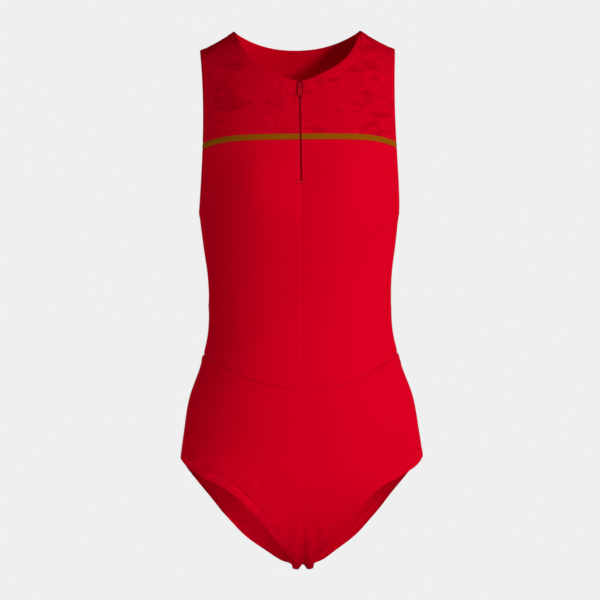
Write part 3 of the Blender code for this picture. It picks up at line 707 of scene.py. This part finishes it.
def wall_object(name, outer, inner, push, finish, mirrored=False):
    """A closed cloth wall: two grids of points joined by a rim whose middle is pushed outwards."""
    rows, columns = outer.shape[:2]
    index = np.arange(rows * columns).reshape(rows, columns)
    rim = np.concatenate([index[0], index[1:, -1], index[-1, -2::-1], index[-2:0:-1, 0]])
    next_in = np.concatenate([index[1], index[1:, -2], index[-2, -2::-1], index[-2:0:-1, 1]])
    flat_outer = outer.reshape(-1, 3)
    flat_inner = inner.reshape(-1, 3)
    outward = unit(flat_outer[rim] - flat_outer[next_in])
    middle = (flat_outer[rim] + flat_inner[rim]) / 2 + outward * push.reshape(-1)[rim][:, None]
    points = np.concatenate([flat_outer, flat_inner, middle])
    if mirrored:
        points = points * (-1, 1, 1)
    far = rows * columns
    ring = 2 * far + np.arange(len(rim))
    face = np.stack([index[:-1, :-1], index[1:, :-1], index[1:, 1:], index[:-1, 1:]], axis=-1).reshape(-1, 4)
    after = np.roll(rim, -1)
    ring_after = np.roll(ring, -1)
    upper = np.stack([rim, after, ring_after, ring], axis=-1)
    lower = np.stack([ring, ring_after, after + far, rim + far], axis=-1)
    faces = np.concatenate([face, face[:, ::-1] + far, upper, lower])
    mesh = bpy.data.meshes.new(name)
    mesh.from_pydata(points.tolist(), [], faces.tolist())
    cloth_map(mesh, outer, rim)
    piece = smooth_object(mesh, finish)
    mesh.set_sharp_from_angle(angle=math.radians(SHARP_ANGLE))
    return piece


def cloth_map(mesh, outer, rim):
    """The piece's UV map, in metres along the cloth: lengths summed across from the middle column,
    and down from the top row."""
    middle = 0 if abs(outer[-1, 0, 0]) < 0.01 else outer.shape[1] // 2
    across = np.linalg.norm(np.diff(outer, axis=1), axis=-1)
    across = np.concatenate([np.zeros((len(outer), 1)), np.cumsum(across, axis=1)], axis=1)
    across -= across[:, middle : middle + 1]
    down = np.linalg.norm(np.diff(outer[:, middle], axis=0), axis=-1)
    down = np.concatenate([[0], np.cumsum(down)])[:, None] + 0 * across
    place = np.stack([across, -down], axis=-1).reshape(-1, 2)
    place = np.concatenate([place, place, place[rim]])
    loops = np.empty(len(mesh.loops), np.int32)
    mesh.loops.foreach_get("vertex_index", loops)
    layer = mesh.uv_layers.new(name="cloth")
    layer.data.foreach_set("uv", place[loops].astype(np.float32).ravel())


def joined_grains(name, places, along, out, grain, maker, slot):
    """Many small grains in one mesh: four-sided spindles of four rings, one at each place."""
    length, width, height = grain
    along = unit(along)
    out = unit(out - (out * along).sum(-1, keepdims=True) * along)
    side = np.cross(along, out)
    rings = np.array([(-0.5, 0.35), (-0.22, 1.0), (0.22, 1.0), (0.5, 0.35)])
    corners = np.array([(1, 0), (0, 1), (-1, 0), (0, -1)])
    count = len(places)
    forward = rings[:, 0][None, :, None, None] * length * along[:, None, None, :]
    sideways = (rings[:, 1][:, None] * corners[:, 0])[None, :, :, None] * width / 2 * side[:, None, None, :]
    outward = (rings[:, 1][:, None] * corners[:, 1])[None, :, :, None] * height / 2 * out[:, None, None, :]
    points = (places[:, None, None, :] + forward + sideways + outward).reshape(-1, 3)
    corner = np.arange(4)
    quads = []
    for ring in range(len(rings) - 1):
        low = ring * 4 + corner
        low_next = ring * 4 + (corner + 1) % 4
        quads.append(np.stack([low, low_next, low_next + 4, low + 4], axis=-1))
    last = (len(rings) - 1) * 4
    quads.append(np.array([[3, 2, 1, 0], [last, last + 1, last + 2, last + 3]]))
    one = np.concatenate(quads)
    faces = (one[None] + (np.arange(count) * 4 * len(rings))[:, None, None]).reshape(-1, 4)
    mesh = bpy.data.meshes.new(name)
    mesh.from_pydata(points.tolist(), [], faces.tolist())
    piece = smooth_object(mesh, finished(maker))
    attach(piece, GARMENT)


def inset(levels, turns, distance):
    """A curve on the surface moved sideways over it: the step that the surface's own two directions
    need to give that sideways vector."""
    points = cloth_point(levels, turns)
    normals = cloth_normal(levels, turns)
    side = unit(np.cross(normals, unit(np.gradient(points, axis=0)))) * distance
    down, around = surface_steps(levels, turns)

    def product(first, second):
        return (first * second).sum(-1)

    lean = product(down, around)
    spread = product(down, down) * product(around, around) - lean * lean
    level_step = (product(down, side) * product(around, around) - product(around, side) * lean) / spread
    turn_step = (product(around, side) * product(down, down) - product(down, side) * lean) / spread
    return levels + level_step, turns + turn_step


def stitch_line(levels, turns):
    """Places, directions and outward vectors of stitches at even steps along a curve on the cloth."""
    points = cloth_point(levels, turns)
    normals = cloth_normal(levels, turns)
    length = np.concatenate([[0], np.cumsum(np.linalg.norm(np.diff(points, axis=0), axis=1))])
    count = max(2, int(length[-1] / sizes().stitch_pitch))
    at = (np.arange(count) + 0.5) * length[-1] / count

    def along(values):
        return np.stack([np.interp(at, length, values[:, axis]) for axis in range(3)], axis=-1)

    return along(points), along(np.gradient(points, axis=0)), along(normals)


def both_sides(parts):
    """Stitch lines with their mirror images across the centre plane."""
    mirror = np.array([-1, 1, 1])
    whole = [np.concatenate(column) for column in zip(*parts)]
    return [np.concatenate([column, column * mirror]) for column in whole]


class Maths:
    """A number on its way through a material, so that a sum of sockets is written as a sum."""

    def __init__(self, finish, socket):
        self.finish = finish
        self.socket = socket

    def made(self, operation, first, second=None):
        return self.finish.node("ShaderNodeMath", {"operation": operation}, {0: first, 1: second})

    def __add__(self, other):
        return self.made("ADD", self, other)

    __radd__ = __add__

    def __sub__(self, other):
        return self.made("SUBTRACT", self, other)

    def __rsub__(self, other):
        return self.made("SUBTRACT", other, self)

    def __mul__(self, other):
        return self.made("MULTIPLY", self, other)

    def wave(self, pitch):
        """A sine that repeats at every pitch."""
        return self.made("SINE", self * (2 * math.pi / pitch))

    def between(self, low, high):
        """0 below low, 1 above high, and a smooth step between."""
        return self.finish.node(
            "ShaderNodeMapRange",
            {"interpolation_type": "SMOOTHSTEP"},
            {"Value": self, "From Min": low, "From Max": high},
        )


class Finish:
    """A material built node by node around one Principled shader."""

    def __init__(self, name, **constants):
        self.material = bpy.data.materials.new(name)
        self.material.use_nodes = True
        self.tree = self.material.node_tree
        self.shader = self.tree.nodes["Principled BSDF"]
        for socket, value in constants.items():
            self.set(socket.replace("_", " "), value)

    def feed(self, socket, value):
        """A constant goes on the socket itself, and anything else is linked to it."""
        if isinstance(value, Maths):
            self.tree.links.new(value.socket, socket)
        else:
            socket.default_value = value

    def set(self, socket, value):
        self.feed(self.shader.inputs[socket], value)

    def node(self, kind, settings=None, inputs=None, output=0):
        """A node of any kind: its settings first, then the values or links of its sockets."""
        made = self.tree.nodes.new(kind)
        for name, value in (settings or {}).items():
            setattr(made, name, value)
        for name, value in (inputs or {}).items():
            if value is not None:
                self.feed(made.inputs[name], value)
        return Maths(self, made.outputs[output])

    def cloth_place(self):
        """The two lengths of the cloth's own UV map, in metres."""
        place = self.node("ShaderNodeUVMap", {"uv_map": "cloth"})
        return place, self.part(place, 0), self.part(place, 1)

    def object_place(self):
        return self.node("ShaderNodeTexCoord", None, None, 3)

    def part(self, vector, axis):
        return self.node("ShaderNodeSeparateXYZ", None, {0: vector}, axis)

    def noise(self, place, scale, detail=2.0, roughness=0.5):
        return self.node(
            "ShaderNodeTexNoise",
            None,
            {"Vector": place, "Scale": scale, "Detail": detail, "Roughness": roughness},
        )

    def stretched(self, place, scale):
        return self.node("ShaderNodeMapping", None, {"Vector": place, "Scale": scale})

    def mix(self, factor, first, second):
        """A colour between two colours."""
        inputs = {0: factor, 6: (*first[:3], 1), 7: (*second[:3], 1)}
        return self.node("ShaderNodeMix", {"data_type": "RGBA"}, inputs, 2)

    def bump(self, height, distance, strength=1.0):
        inputs = {"Height": height, "Distance": distance, "Strength": strength}
        self.set("Normal", self.node("ShaderNodeBump", None, inputs))


RIB_PITCH = 0.0011
ROW_PITCH = 0.0007
GOLD_RIB_PITCH = 0.0009
HERRINGBONE_PITCH = 0.0008
FABRIC = dict(Sheen_Weight=0.6, Sheen_Roughness=0.08, Specular_IOR_Level=0.0)


def knit_height(across, down):
    """Height of the knit: fine upright ribs crossed by finer rows."""
    return across.wave(RIB_PITCH) * 0.6 + down.wave(ROW_PITCH) * 0.4


def dimmer(colour):
    """Three fifths as bright."""
    return tuple(0.6 * part for part in colour)


def satin_knit():
    """Bright red satin knit: fine ribs with painted shade between them, faint cloudy tone and a pale sheen.
    """
    finish = Finish("satin_knit", Roughness=0.5, Sheen_Tint=(1.0, 0.5, 0.5, 1), **FABRIC)
    place, across, down = finish.cloth_place()
    clouds = finish.noise(place, 9.0, 3.0).between(0.3, 0.7)
    threads = finish.noise(finish.stretched(place, (1400.0, 160.0, 1.0)), 1.0, 2.0)
    ribs = across.wave(RIB_PITCH) * 0.5 + 0.5
    # The clouds and threads are random tone; the (1 - ribs) share is painted shade in the grooves between
    # the ribs.
    shade = clouds * 0.12 + threads * 0.22 + (1 - ribs) * 0.18
    finish.set("Base Color", finish.mix(shade, colours().red, colours().red_deep))
    finish.set("Roughness", 0.44 + threads * 0.14)
    finish.bump(knit_height(across, down) + threads * 0.5, 0.00005, 0.6)
    return finish.material


def printed_knit():
    """Darker yoke knit: a generic printed heather of short level flecks, soft patches and dots."""
    finish = Finish("printed_knit", Roughness=0.6, Sheen_Tint=(1.0, 0.5, 0.5, 1), **FABRIC)
    _, across, down = finish.cloth_place()
    place = finish.object_place()
    flecks = finish.noise(finish.stretched(place, (55.0, 0.0, 330.0)), 1.0, 2.0, 0.6).between(0.48, 0.70)
    patches = finish.noise(finish.stretched(place, (26.0, 0.0, 44.0)), 1.0, 2.0, 0.55)
    cells = {"Vector": finish.stretched(place, (330, 0, 330)), "Scale": 1.0, "Randomness": 0.1}
    dots = finish.node("ShaderNodeTexVoronoi", None, cells)
    dots = (1 - dots.between(0.22, 0.40)) * patches.between(0.50, 0.56)
    islands = patches.between(0.36, 0.47)
    shade = flecks * 0.26 + dots * 0.30 + (1 - islands) * 0.42
    finish.set("Base Color", finish.mix(shade, colours().yoke, colours().yoke_dark))
    finish.bump(knit_height(across, down) + flecks * 0.6, 0.00006, 0.6)
    return finish.material


def gold_knit():
    """Matt olive gold strip with a close level rib."""
    finish = Finish("gold_knit", Roughness=0.7, Sheen_Tint=(1.0, 0.8, 0.4, 1), **FABRIC)
    place, _, down = finish.cloth_place()
    grain = finish.noise(finish.stretched(place, (900.0, 300.0, 1.0)), 1.0, 2.0)
    gold = colours().gold
    finish.set("Base Color", finish.mix(grain * 0.5, gold, dimmer(gold)))
    finish.bump(down.wave(GOLD_RIB_PITCH) + grain, 0.00008, 0.7)
    return finish.material


def zip_cloth():
    """Woven zip tape: a herringbone of close slanting threads."""
    finish = Finish("zip_cloth", Roughness=0.75, **FABRIC)
    _, across, down = finish.cloth_place()
    slant = (across + down).wave(HERRINGBONE_PITCH) * 0.5 + 0.5
    tape = colours().tape
    finish.set("Base Color", finish.mix(slant * 0.5, tape, dimmer(tape)))
    finish.bump(slant, 0.0001, 0.7)
    return finish.material


def plain_finish(name, colour, roughness, grain_scale, depth, **constants):
    """Thread, teeth or lacquer: a colour with slight cloudy variation and a fine bump."""
    finish = Finish(name, Roughness=roughness, **constants)
    grain = finish.noise(finish.object_place(), grain_scale, 2.0)
    finish.set("Base Color", finish.mix(grain * 0.45, colour, dimmer(colour)))
    finish.bump(grain, depth, 0.5)
    return finish.material


def red_thread():
    return plain_finish("red_thread", colours().red, 0.5, 1500.0, 0.00005, Specular_IOR_Level=0.15)


def zip_thread():
    return plain_finish("zip_thread", colours().tape, 0.5, 1500.0, 0.00005, Specular_IOR_Level=0.08)


def lacquer():
    gloss = dict(Specular_IOR_Level=0.12, Coat_Weight=0.03)
    return plain_finish("lacquer", colours().lacquer, 0.42, 600.0, 0.00002, **gloss)


def finished(maker):
    """A finish made once and shared, under its maker's name."""
    return bpy.data.materials.get(maker.__name__) or maker()


def open_rim(patch, *parts):
    """Marks the parts of a patch's rim at which the garment is open."""
    marks = np.zeros(patch[0].shape, bool)
    for part in parts:
        marks[part] = True
    return marks


def cloth_piece(name, outer, inner, push, maker, mirrored):
    """A cloth wall in its solid's place, attached to the garment, with the solid hidden."""
    piece = wall_object(f"{name}_cloth", outer, inner, push, finished(maker), mirrored)
    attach(piece, GARMENT)
    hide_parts(name)


def cloth_panel(name, patch, maker, relief, rim, behind=False, inner_edge=None, mirrored=False):
    """A cloth panel as a fine shell: the patch, raised by its relief along the normal, and an inner
    face one cloth thickness in. Its edge is folded round where the garment is open."""
    levels, shares = patch
    turns = patch_turns(levels, shares, behind, inner_edge)
    points = cloth_point(levels, turns)
    normals = cloth_normal(levels, turns)
    points[..., 1] += GAP / 2 if behind else -GAP / 2
    outer = points + normals * relief(points)[..., None]
    inner = outer - normals * sizes().cloth
    push = np.where(rim, sizes().cloth * FOLD_SHARE, RIM_BULGE)
    cloth_piece(name, outer, inner, push, maker, mirrored)


class SUIT_OT_fronts(bpy.types.Operator):
    """Build the yoke, contrast strip and body of each front"""

    bl_idname = "suit.fronts"
    bl_label = "Fronts"

    def execute(self, context):
        top, neck_columns = neck_and_shoulder(neckline, round(PANEL_WIDTH / sizes().face))
        shares = top[1]
        half_strip = STRIP_WIDTH / 2

        def seam_levels(offset):
            return level_on(lambda x: yoke_seam(x) + offset, shares, YOKE_START), shares

        foot = level_on(lambda x: hip_height(x, HIP_FRONT_SAG) + GAP / 2, shares, HIP_START), shares
        body_top = seam_levels(-half_strip - GAP)
        rows = round(FRONT_LENGTH / sizes().face)
        yoke = ruled(top, seam_levels(half_strip + GAP), evenly(0, 1, round(YOKE_LENGTH / sizes().face)))
        strip = ruled(seam_levels(half_strip), seam_levels(-half_strip), evenly(0, 1, STRIP_ROWS))
        body = ruled(body_top, foot, armhole_rows(body_top, foot, rows // 3, rows - rows // 3))
        for side, mirrored in (("left", False), ("right", True)):
            self.yoke(f"front_yoke_{side}", yoke, neck_columns, mirrored)
            self.strip(f"yoke_strip_{side}", strip, mirrored)
            self.body(f"front_body_{side}", body, mirrored)
        return {"FINISHED"}

    def panel(self, name, patch, maker, relief, slot, cut, rim, mirrored):
        """A front's panel, with the listed creases of its own side on its relief."""

        def creased(at):
            return relief(at) + crease_relief(at * ((-1, 1, 1) if mirrored else 1))

        cloth_panel(name, patch, maker, creased, rim, inner_edge=zip_edge, mirrored=mirrored)

    def yoke(self, name, patch, neck_columns, mirrored):
        points = cloth_point(patch[0], patch_turns(*patch, inner_edge=zip_edge))
        on_neck = np.s_[0, : neck_columns + 1]
        on_armhole = np.s_[:, -1]

        def relief(at):
            seam = seam_relief(at[..., 2] - yoke_seam(at[..., 0]) - STRIP_WIDTH / 2)
            hems = hem_relief(at, points[on_neck], NECK_HEM) + hem_relief(at, points[on_armhole], ARM_HEM)
            return hems + seam + seam_relief(at[..., 1])

        rim = open_rim(patch, on_neck, on_armhole)
        self.panel(name, patch, printed_knit, relief, "yoke_knit", "yoke", rim, mirrored)

    def strip(self, name, patch, mirrored):
        def relief(at):
            part = (at[..., 2] - yoke_seam(at[..., 0])) / (STRIP_WIDTH / 2)
            return STRIP_HEIGHT * np.sqrt(np.clip(STRIP_ROUNDING - part**2, 0, 1))

        cloth_panel(
            name, patch, gold_knit, relief, open_rim(patch, np.s_[:, -1]),
            inner_edge=zip_edge, mirrored=mirrored,
        )

    def body(self, name, patch, mirrored):
        points = cloth_point(patch[0], patch_turns(*patch, inner_edge=zip_edge))
        on_armhole = patch[0][:, -1] < 1, -1

        def relief(at):
            strip = seam_relief(at[..., 2] - yoke_seam(at[..., 0]) + STRIP_WIDTH / 2)
            below = at[..., 2] - hip_height(at[..., 0], HIP_FRONT_SAG)
            hip = seam_relief(below, HIP_SEAM) + seam_relief(below - HIP_FOLD_RISE, HIP_FOLD)
            under_zip = 1 - smooth_step(ZIP_END_Z - ZIP_FOOT_RUN, ZIP_END_Z, at[..., 2])
            middle = seam_relief(at[..., 0], CENTRE_SEAM) * under_zip
            side = seam_relief(at[..., 1])
            return hem_relief(at, points[on_armhole], ARM_HEM) + strip + hip + middle + side

        rim = open_rim(patch, on_armhole)
        self.panel(name, patch, satin_knit, relief, "red_knit", "front", rim, mirrored)


class SUIT_OT_back(bpy.types.Operator):
    """Build the back body, from the neck to the hip seam"""

    bl_idname = "suit.back"
    bl_label = "Back"

    def execute(self, context):
        columns = round(PANEL_WIDTH / sizes().face)
        top, neck_columns = neck_and_shoulder(back_neckline, columns)
        foot = level_on(lambda x: hip_height(x, HIP_BACK_SAG) + GAP / 2, top[1], HIP_START), top[1]
        rows = round(BACK_LENGTH / sizes().face)
        down = armhole_rows(top, foot, rows // 2, rows - rows // 2)
        patch = ruled(across_both(top), across_both(foot), down)
        points = cloth_point(patch[0], patch_turns(*patch, behind=True))
        on_neck = np.s_[0, columns - neck_columns : columns + neck_columns + 1]
        on_armholes = [(patch[0][:, -1] < 1, column) for column in (0, -1)]

        def relief(at):
            hems = hem_relief(at, points[on_neck], NECK_HEM)
            hems = hems + sum(hem_relief(at, points[armhole], ARM_HEM) for armhole in on_armholes)
            hip = seam_relief(at[..., 2] - hip_height(at[..., 0], HIP_BACK_SAG), BACK_HIP_SEAM)
            return hems + crease_relief(at, behind=True) + hip + seam_relief(at[..., 1])

        rim = open_rim(patch, on_neck, *on_armholes)
        cloth_panel("back_body", patch, satin_knit, relief, rim, behind=True)
        return {"FINISHED"}


class SUIT_OT_briefs(bpy.types.Operator):
    """Build the front and back briefs, from the hip seam to the crotch seam"""

    bl_idname = "suit.briefs"
    bl_label = "Briefs"

    def execute(self, context):
        self.brief("front_brief", HIP_FRONT_SAG, EDGE_FRONT, False)
        self.brief("back_brief", HIP_BACK_SAG, EDGE_BACK, True)
        return {"FINISHED"}

    def brief(self, name, sag, column, behind):
        patch = brief_patch(sag, column, round(BRIEF_LENGTH / sizes().face))
        points = cloth_point(patch[0], patch_turns(*patch, behind=behind))
        on_legs = np.s_[-1, : LEG_COLUMNS + 1], np.s_[-1, -LEG_COLUMNS - 1 :]

        def relief(at):
            hems = sum(hem_relief(at, points[leg], LEG_HEM) for leg in on_legs)
            hip = seam_relief(at[..., 2] - hip_height(at[..., 0], sag), BRIEF_HIP_SEAM)
            return hems + crease_relief(at, behind) + hip + seam_relief(at[..., 1])

        rim = open_rim(patch, *on_legs)
        cloth_panel(name, patch, satin_knit, relief, rim, behind=behind)


class SUIT_OT_stitching(bpy.types.Operator):
    """Sew the seams and turned edges with raised stitches"""

    bl_idname = "suit.stitching"
    bl_label = "Stitching"

    def execute(self, context):
        self.sew("edge_stitches", both_sides(self.neck_lines() + self.armhole_lines() + self.leg_lines()))
        self.sew("seam_stitches", both_sides(self.hip_lines() + self.side_lines() + self.shoulder_lines()))
        return {"FINISHED"}

    def sew(self, name, lines):
        grain = (sizes().stitch, sizes().thread, sizes().thread * THREAD_FLATNESS)
        joined_grains(name, *lines, grain, red_thread, "red_knit")

    def line(self, levels, turns, distance, behind=False):
        """Stitches at a distance beside a curve of the front, or beside the like curve behind."""
        if behind:
            return stitch_line(*inset(levels, np.pi - turns, -distance))
        return stitch_line(*inset(levels, turns, distance))

    def neck_lines(self):
        last = float(share_at(0.0, NECK_HALF_WIDTH)) * NECK_END_SHARE
        lines = []
        for edge, first, behind in ((neckline, FRONT_NECK_START, False), (back_neckline, 0, True)):
            shares = np.linspace(first, last, 160)
            levels = level_on(edge, shares, NECK_START)
            lines.append(self.line(levels, shares * edge_turn(levels), -NECK_HEM, behind))
        return lines

    def armhole_lines(self):
        levels = np.sin(np.linspace(ARMHOLE_START, np.pi / 2, 220))[:-4]
        lines = []
        for across in (0.0, ARM_ROW_GAP):
            for behind in (False, True):
                lines.append(self.line(levels, edge_turn(levels), across - ARM_HEM, behind))
        return lines

    def leg_lines(self):
        lines = []
        for column, behind in ((EDGE_FRONT, False), (EDGE_BACK, True)):
            levels, turns = leg_edge(column, np.linspace(LEG_START, 1, 260))
            for across in (0.0, LEG_ROW_GAP):
                lines.append(self.line(levels, turns, LEG_HEM - across, behind))
        return lines

    def hip_lines(self):
        shares = np.linspace(0, 1, 300)
        lines = []
        for sag, behind in ((HIP_FRONT_SAG, False), (HIP_BACK_SAG, True)):
            levels = level_on(lambda x: hip_height(x, sag), shares, HIP_START)
            for distance in (-HIP_STITCH, HIP_STITCH):
                lines.append(self.line(levels, shares * edge_turn(levels), distance, behind))
        return lines

    def side_lines(self):
        levels = np.linspace(*SIDE_LEVELS, 200)
        turns = np.full_like(levels, np.pi / 2)
        return [self.line(levels, turns, distance) for distance in (-HIP_STITCH, HIP_STITCH)]

    def shoulder_lines(self):
        x = np.linspace(NECK_HALF_WIDTH + SHOULDER_INSET, SHOULDER_TIP_X - SHOULDER_INSET, 40)
        levels = np.full_like(x, SHOULDER_STITCH / DEPTH_OF_ONE_LEVEL)
        turns = turn_at(levels, x)
        return [stitch_line(levels, turns), stitch_line(levels, np.pi - turns)]


class SUIT_OT_zip(bpy.types.Operator):
    """Build the zip tapes, teeth and end stop, and lacquer the slider and pull"""

    bl_idname = "suit.zip"
    bl_label = "Zip"

    def execute(self, context):
        for side, mirrored in (("left", False), ("right", True)):
            self.tape(f"zip_tape_{side}", mirrored)
        self.teeth()
        self.end_stop()
        for name in ("zip_slider", "zip_pull"):
            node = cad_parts[name]
            node.data.materials.clear()
            node.data.materials.append(finished(lacquer))
        return {"FINISHED"}

    def tape(self, name, mirrored):
        heights = np.linspace(neckline(TAPE_HALF_WIDTH) - GAP, ZIP_END_Z, 80)[:, None]
        near = tape_edge(heights)
        x = near + (TAPE_HALF_WIDTH - near) * np.linspace(0, 1, 8)
        levels = level_at(x, heights + 0 * x)
        turns = turn_at(levels, x)
        points = cloth_point(levels, turns)
        normals = cloth_normal(levels, turns)
        points[..., 1] -= GAP / 2
        outer = points - normals * (CAD_CLOTH + TAPE_BEHIND)
        inner = outer - normals * TAPE
        push = np.full(x.shape, RIM_BULGE)
        cloth_piece(name, outer, inner, push, zip_cloth, mirrored)

    def teeth(self):
        heights = np.arange(SLIDER_Z - SLIDER_HALF_LENGTH, ZIP_END_Z, -sizes().tooth_pitch)
        sides = np.where(np.arange(len(heights)) % 2 == 0, 1.0, -1.0)
        x = sides * TOOTH_X
        levels = level_at(x, heights)
        turns = turn_at(levels, x)
        normals = cloth_normal(levels, turns)
        places = cloth_point(levels, turns) - normals * (CAD_CLOTH + TAPE_BEHIND - TOOTH_OVER_TAPE)
        along = np.tile((1.0, 0.0, 0.0), (len(places), 1))
        joined_grains("zip_teeth", places, along, normals, TOOTH, zip_thread, "zip_tape")

    def end_stop(self):
        """A bar of close upright stitches across the zip's foot."""
        x = np.linspace(-END_HALF_WIDTH, END_HALF_WIDTH, END_STITCHES)
        levels = level_at(x, np.full_like(x, ZIP_END_Z + END_RISE))
        turns = turn_at(levels, x)
        down, _ = surface_steps(levels, turns)
        normals = cloth_normal(levels, turns)
        places = cloth_point(levels, turns) + normals * END_LIFT
        joined_grains("zip_end_stitches", places, -down, normals, END_STITCH, red_thread, "red_knit")


class SUIT_OT_stage(bpy.types.Operator):
    """Set the floor, the studio lights, the plain surroundings and the camera"""

    bl_idname = "suit.stage"
    bl_label = "Stage"

    def execute(self, context):
        self.floor()
        context.scene.world = bpy.data.worlds.new("studio")
        self.surroundings(context.scene.world)
        for lamp in LAMPS:
            self.lamp(*lamp)
        self.camera(context.scene)
        context.scene.view_settings.view_transform = "Standard"
        return {"FINISHED"}

    def floor(self):
        mesh = bpy.data.meshes.new("floor")
        signs = ((-1, -1), (1, -1), (1, 1), (-1, 1))
        corners = [(FLOOR_HALF_SIDE * x, FLOOR_HALF_SIDE * y, FLOOR_Z) for x, y in signs]
        mesh.from_pydata(corners, [], [(0, 1, 2, 3)])
        floor = bpy.data.objects.new("floor", mesh)
        bpy.context.scene.collection.objects.link(floor)
        finish = Finish("pale_floor", Roughness=0.8, Specular_IOR_Level=0.0, Emission_Strength=0.8)
        finish.set("Base Color", (*[FLOOR_SHADE * part for part in colours().floor], 1))
        finish.set("Emission Color", (*colours().floor, 1))
        floor.data.materials.append(finish.material)
        floor.visible_diffuse = False
        floor.visible_glossy = False

    def surroundings(self, world):
        """Pale all round where it is looked at, and a dimmer, even light elsewhere."""
        world.use_nodes = True
        tree = world.node_tree
        seen = tree.nodes.new("ShaderNodeLightPath").outputs["Is Camera Ray"]
        plain = tree.nodes["Background"]
        plain.inputs["Color"].default_value = (*colours().floor, 1)
        strength = tree.nodes.new("ShaderNodeMapRange")
        strength.inputs["To Min"].default_value = SURROUNDINGS
        strength.inputs["To Max"].default_value = 1.0
        tree.links.new(seen, strength.inputs["Value"])
        tree.links.new(strength.outputs[0], plain.inputs["Strength"])

    def lamp(self, name, place, width, power, aim, spread):
        light = bpy.data.lights.new(name, "AREA")
        light.shape = "DISK"
        light.size = width
        light.energy = power
        light.spread = math.radians(spread)
        lamp = bpy.data.objects.new(name, light)
        lamp.location = place
        lamp.visible_camera = False
        lamp.rotation_euler = (Vector(aim) - Vector(place)).to_track_quat("-Z", "Y").to_euler()
        bpy.context.scene.collection.objects.link(lamp)

    def camera(self, scene):
        lens = bpy.data.cameras.new("camera")
        lens.sensor_width = SENSOR
        lens.lens = SENSOR * SIGHT_DISTANCE / FRAME_WIDTH
        camera = bpy.data.objects.new("camera", lens)
        turn = math.radians(VIEW_TURN)
        camera.location = (SIGHT_DISTANCE * math.sin(turn), -SIGHT_DISTANCE * math.cos(turn), SIGHT_HEIGHT)
        level = Matrix.Rotation(turn, 4, "Z") @ Matrix.Rotation(math.pi / 2, 4, "X")
        camera.rotation_euler = (level @ Matrix.Rotation(-math.radians(VIEW_ROLL), 4, "Z")).to_euler()
        scene.collection.objects.link(camera)
        scene.camera = camera


OPERATORS = (SUIT_OT_stage, SUIT_OT_fronts, SUIT_OT_back, SUIT_OT_briefs, SUIT_OT_stitching, SUIT_OT_zip)


class SUIT_PT_panel(bpy.types.Panel):
    """Lists the pieces of the bodysuit"""

    bl_idname = "SUIT_PT_panel"
    bl_label = "Running bodysuit"
    bl_space_type = "VIEW_3D"
    bl_region_type = "UI"
    bl_category = "Bodysuit"

    def draw(self, context):
        for operator in OPERATORS:
            self.layout.operator(operator.bl_idname)
        for group in (context.scene.suit_sizes, context.scene.suit_colours):
            for name in type(group).__annotations__:
                self.layout.prop(group, name)


CLASSES = (SuitSizes, SuitColours, *OPERATORS, SUIT_PT_panel)


def register():
    for made in CLASSES:
        bpy.utils.register_class(made)
    bpy.types.Scene.suit_sizes = bpy.props.PointerProperty(type=SuitSizes)
    bpy.types.Scene.suit_colours = bpy.props.PointerProperty(type=SuitColours)


def unregister():
    del bpy.types.Scene.suit_colours
    del bpy.types.Scene.suit_sizes
    for made in reversed(CLASSES):
        bpy.utils.unregister_class(made)


def main():
    register()
    bpy.ops.suit.stage()
    bpy.ops.suit.fronts()
    bpy.ops.suit.back()
    bpy.ops.suit.briefs()
    bpy.ops.suit.stitching()
    bpy.ops.suit.zip()
    bpy.context.view_layer.update()


if __name__ == "__main__":
    main()
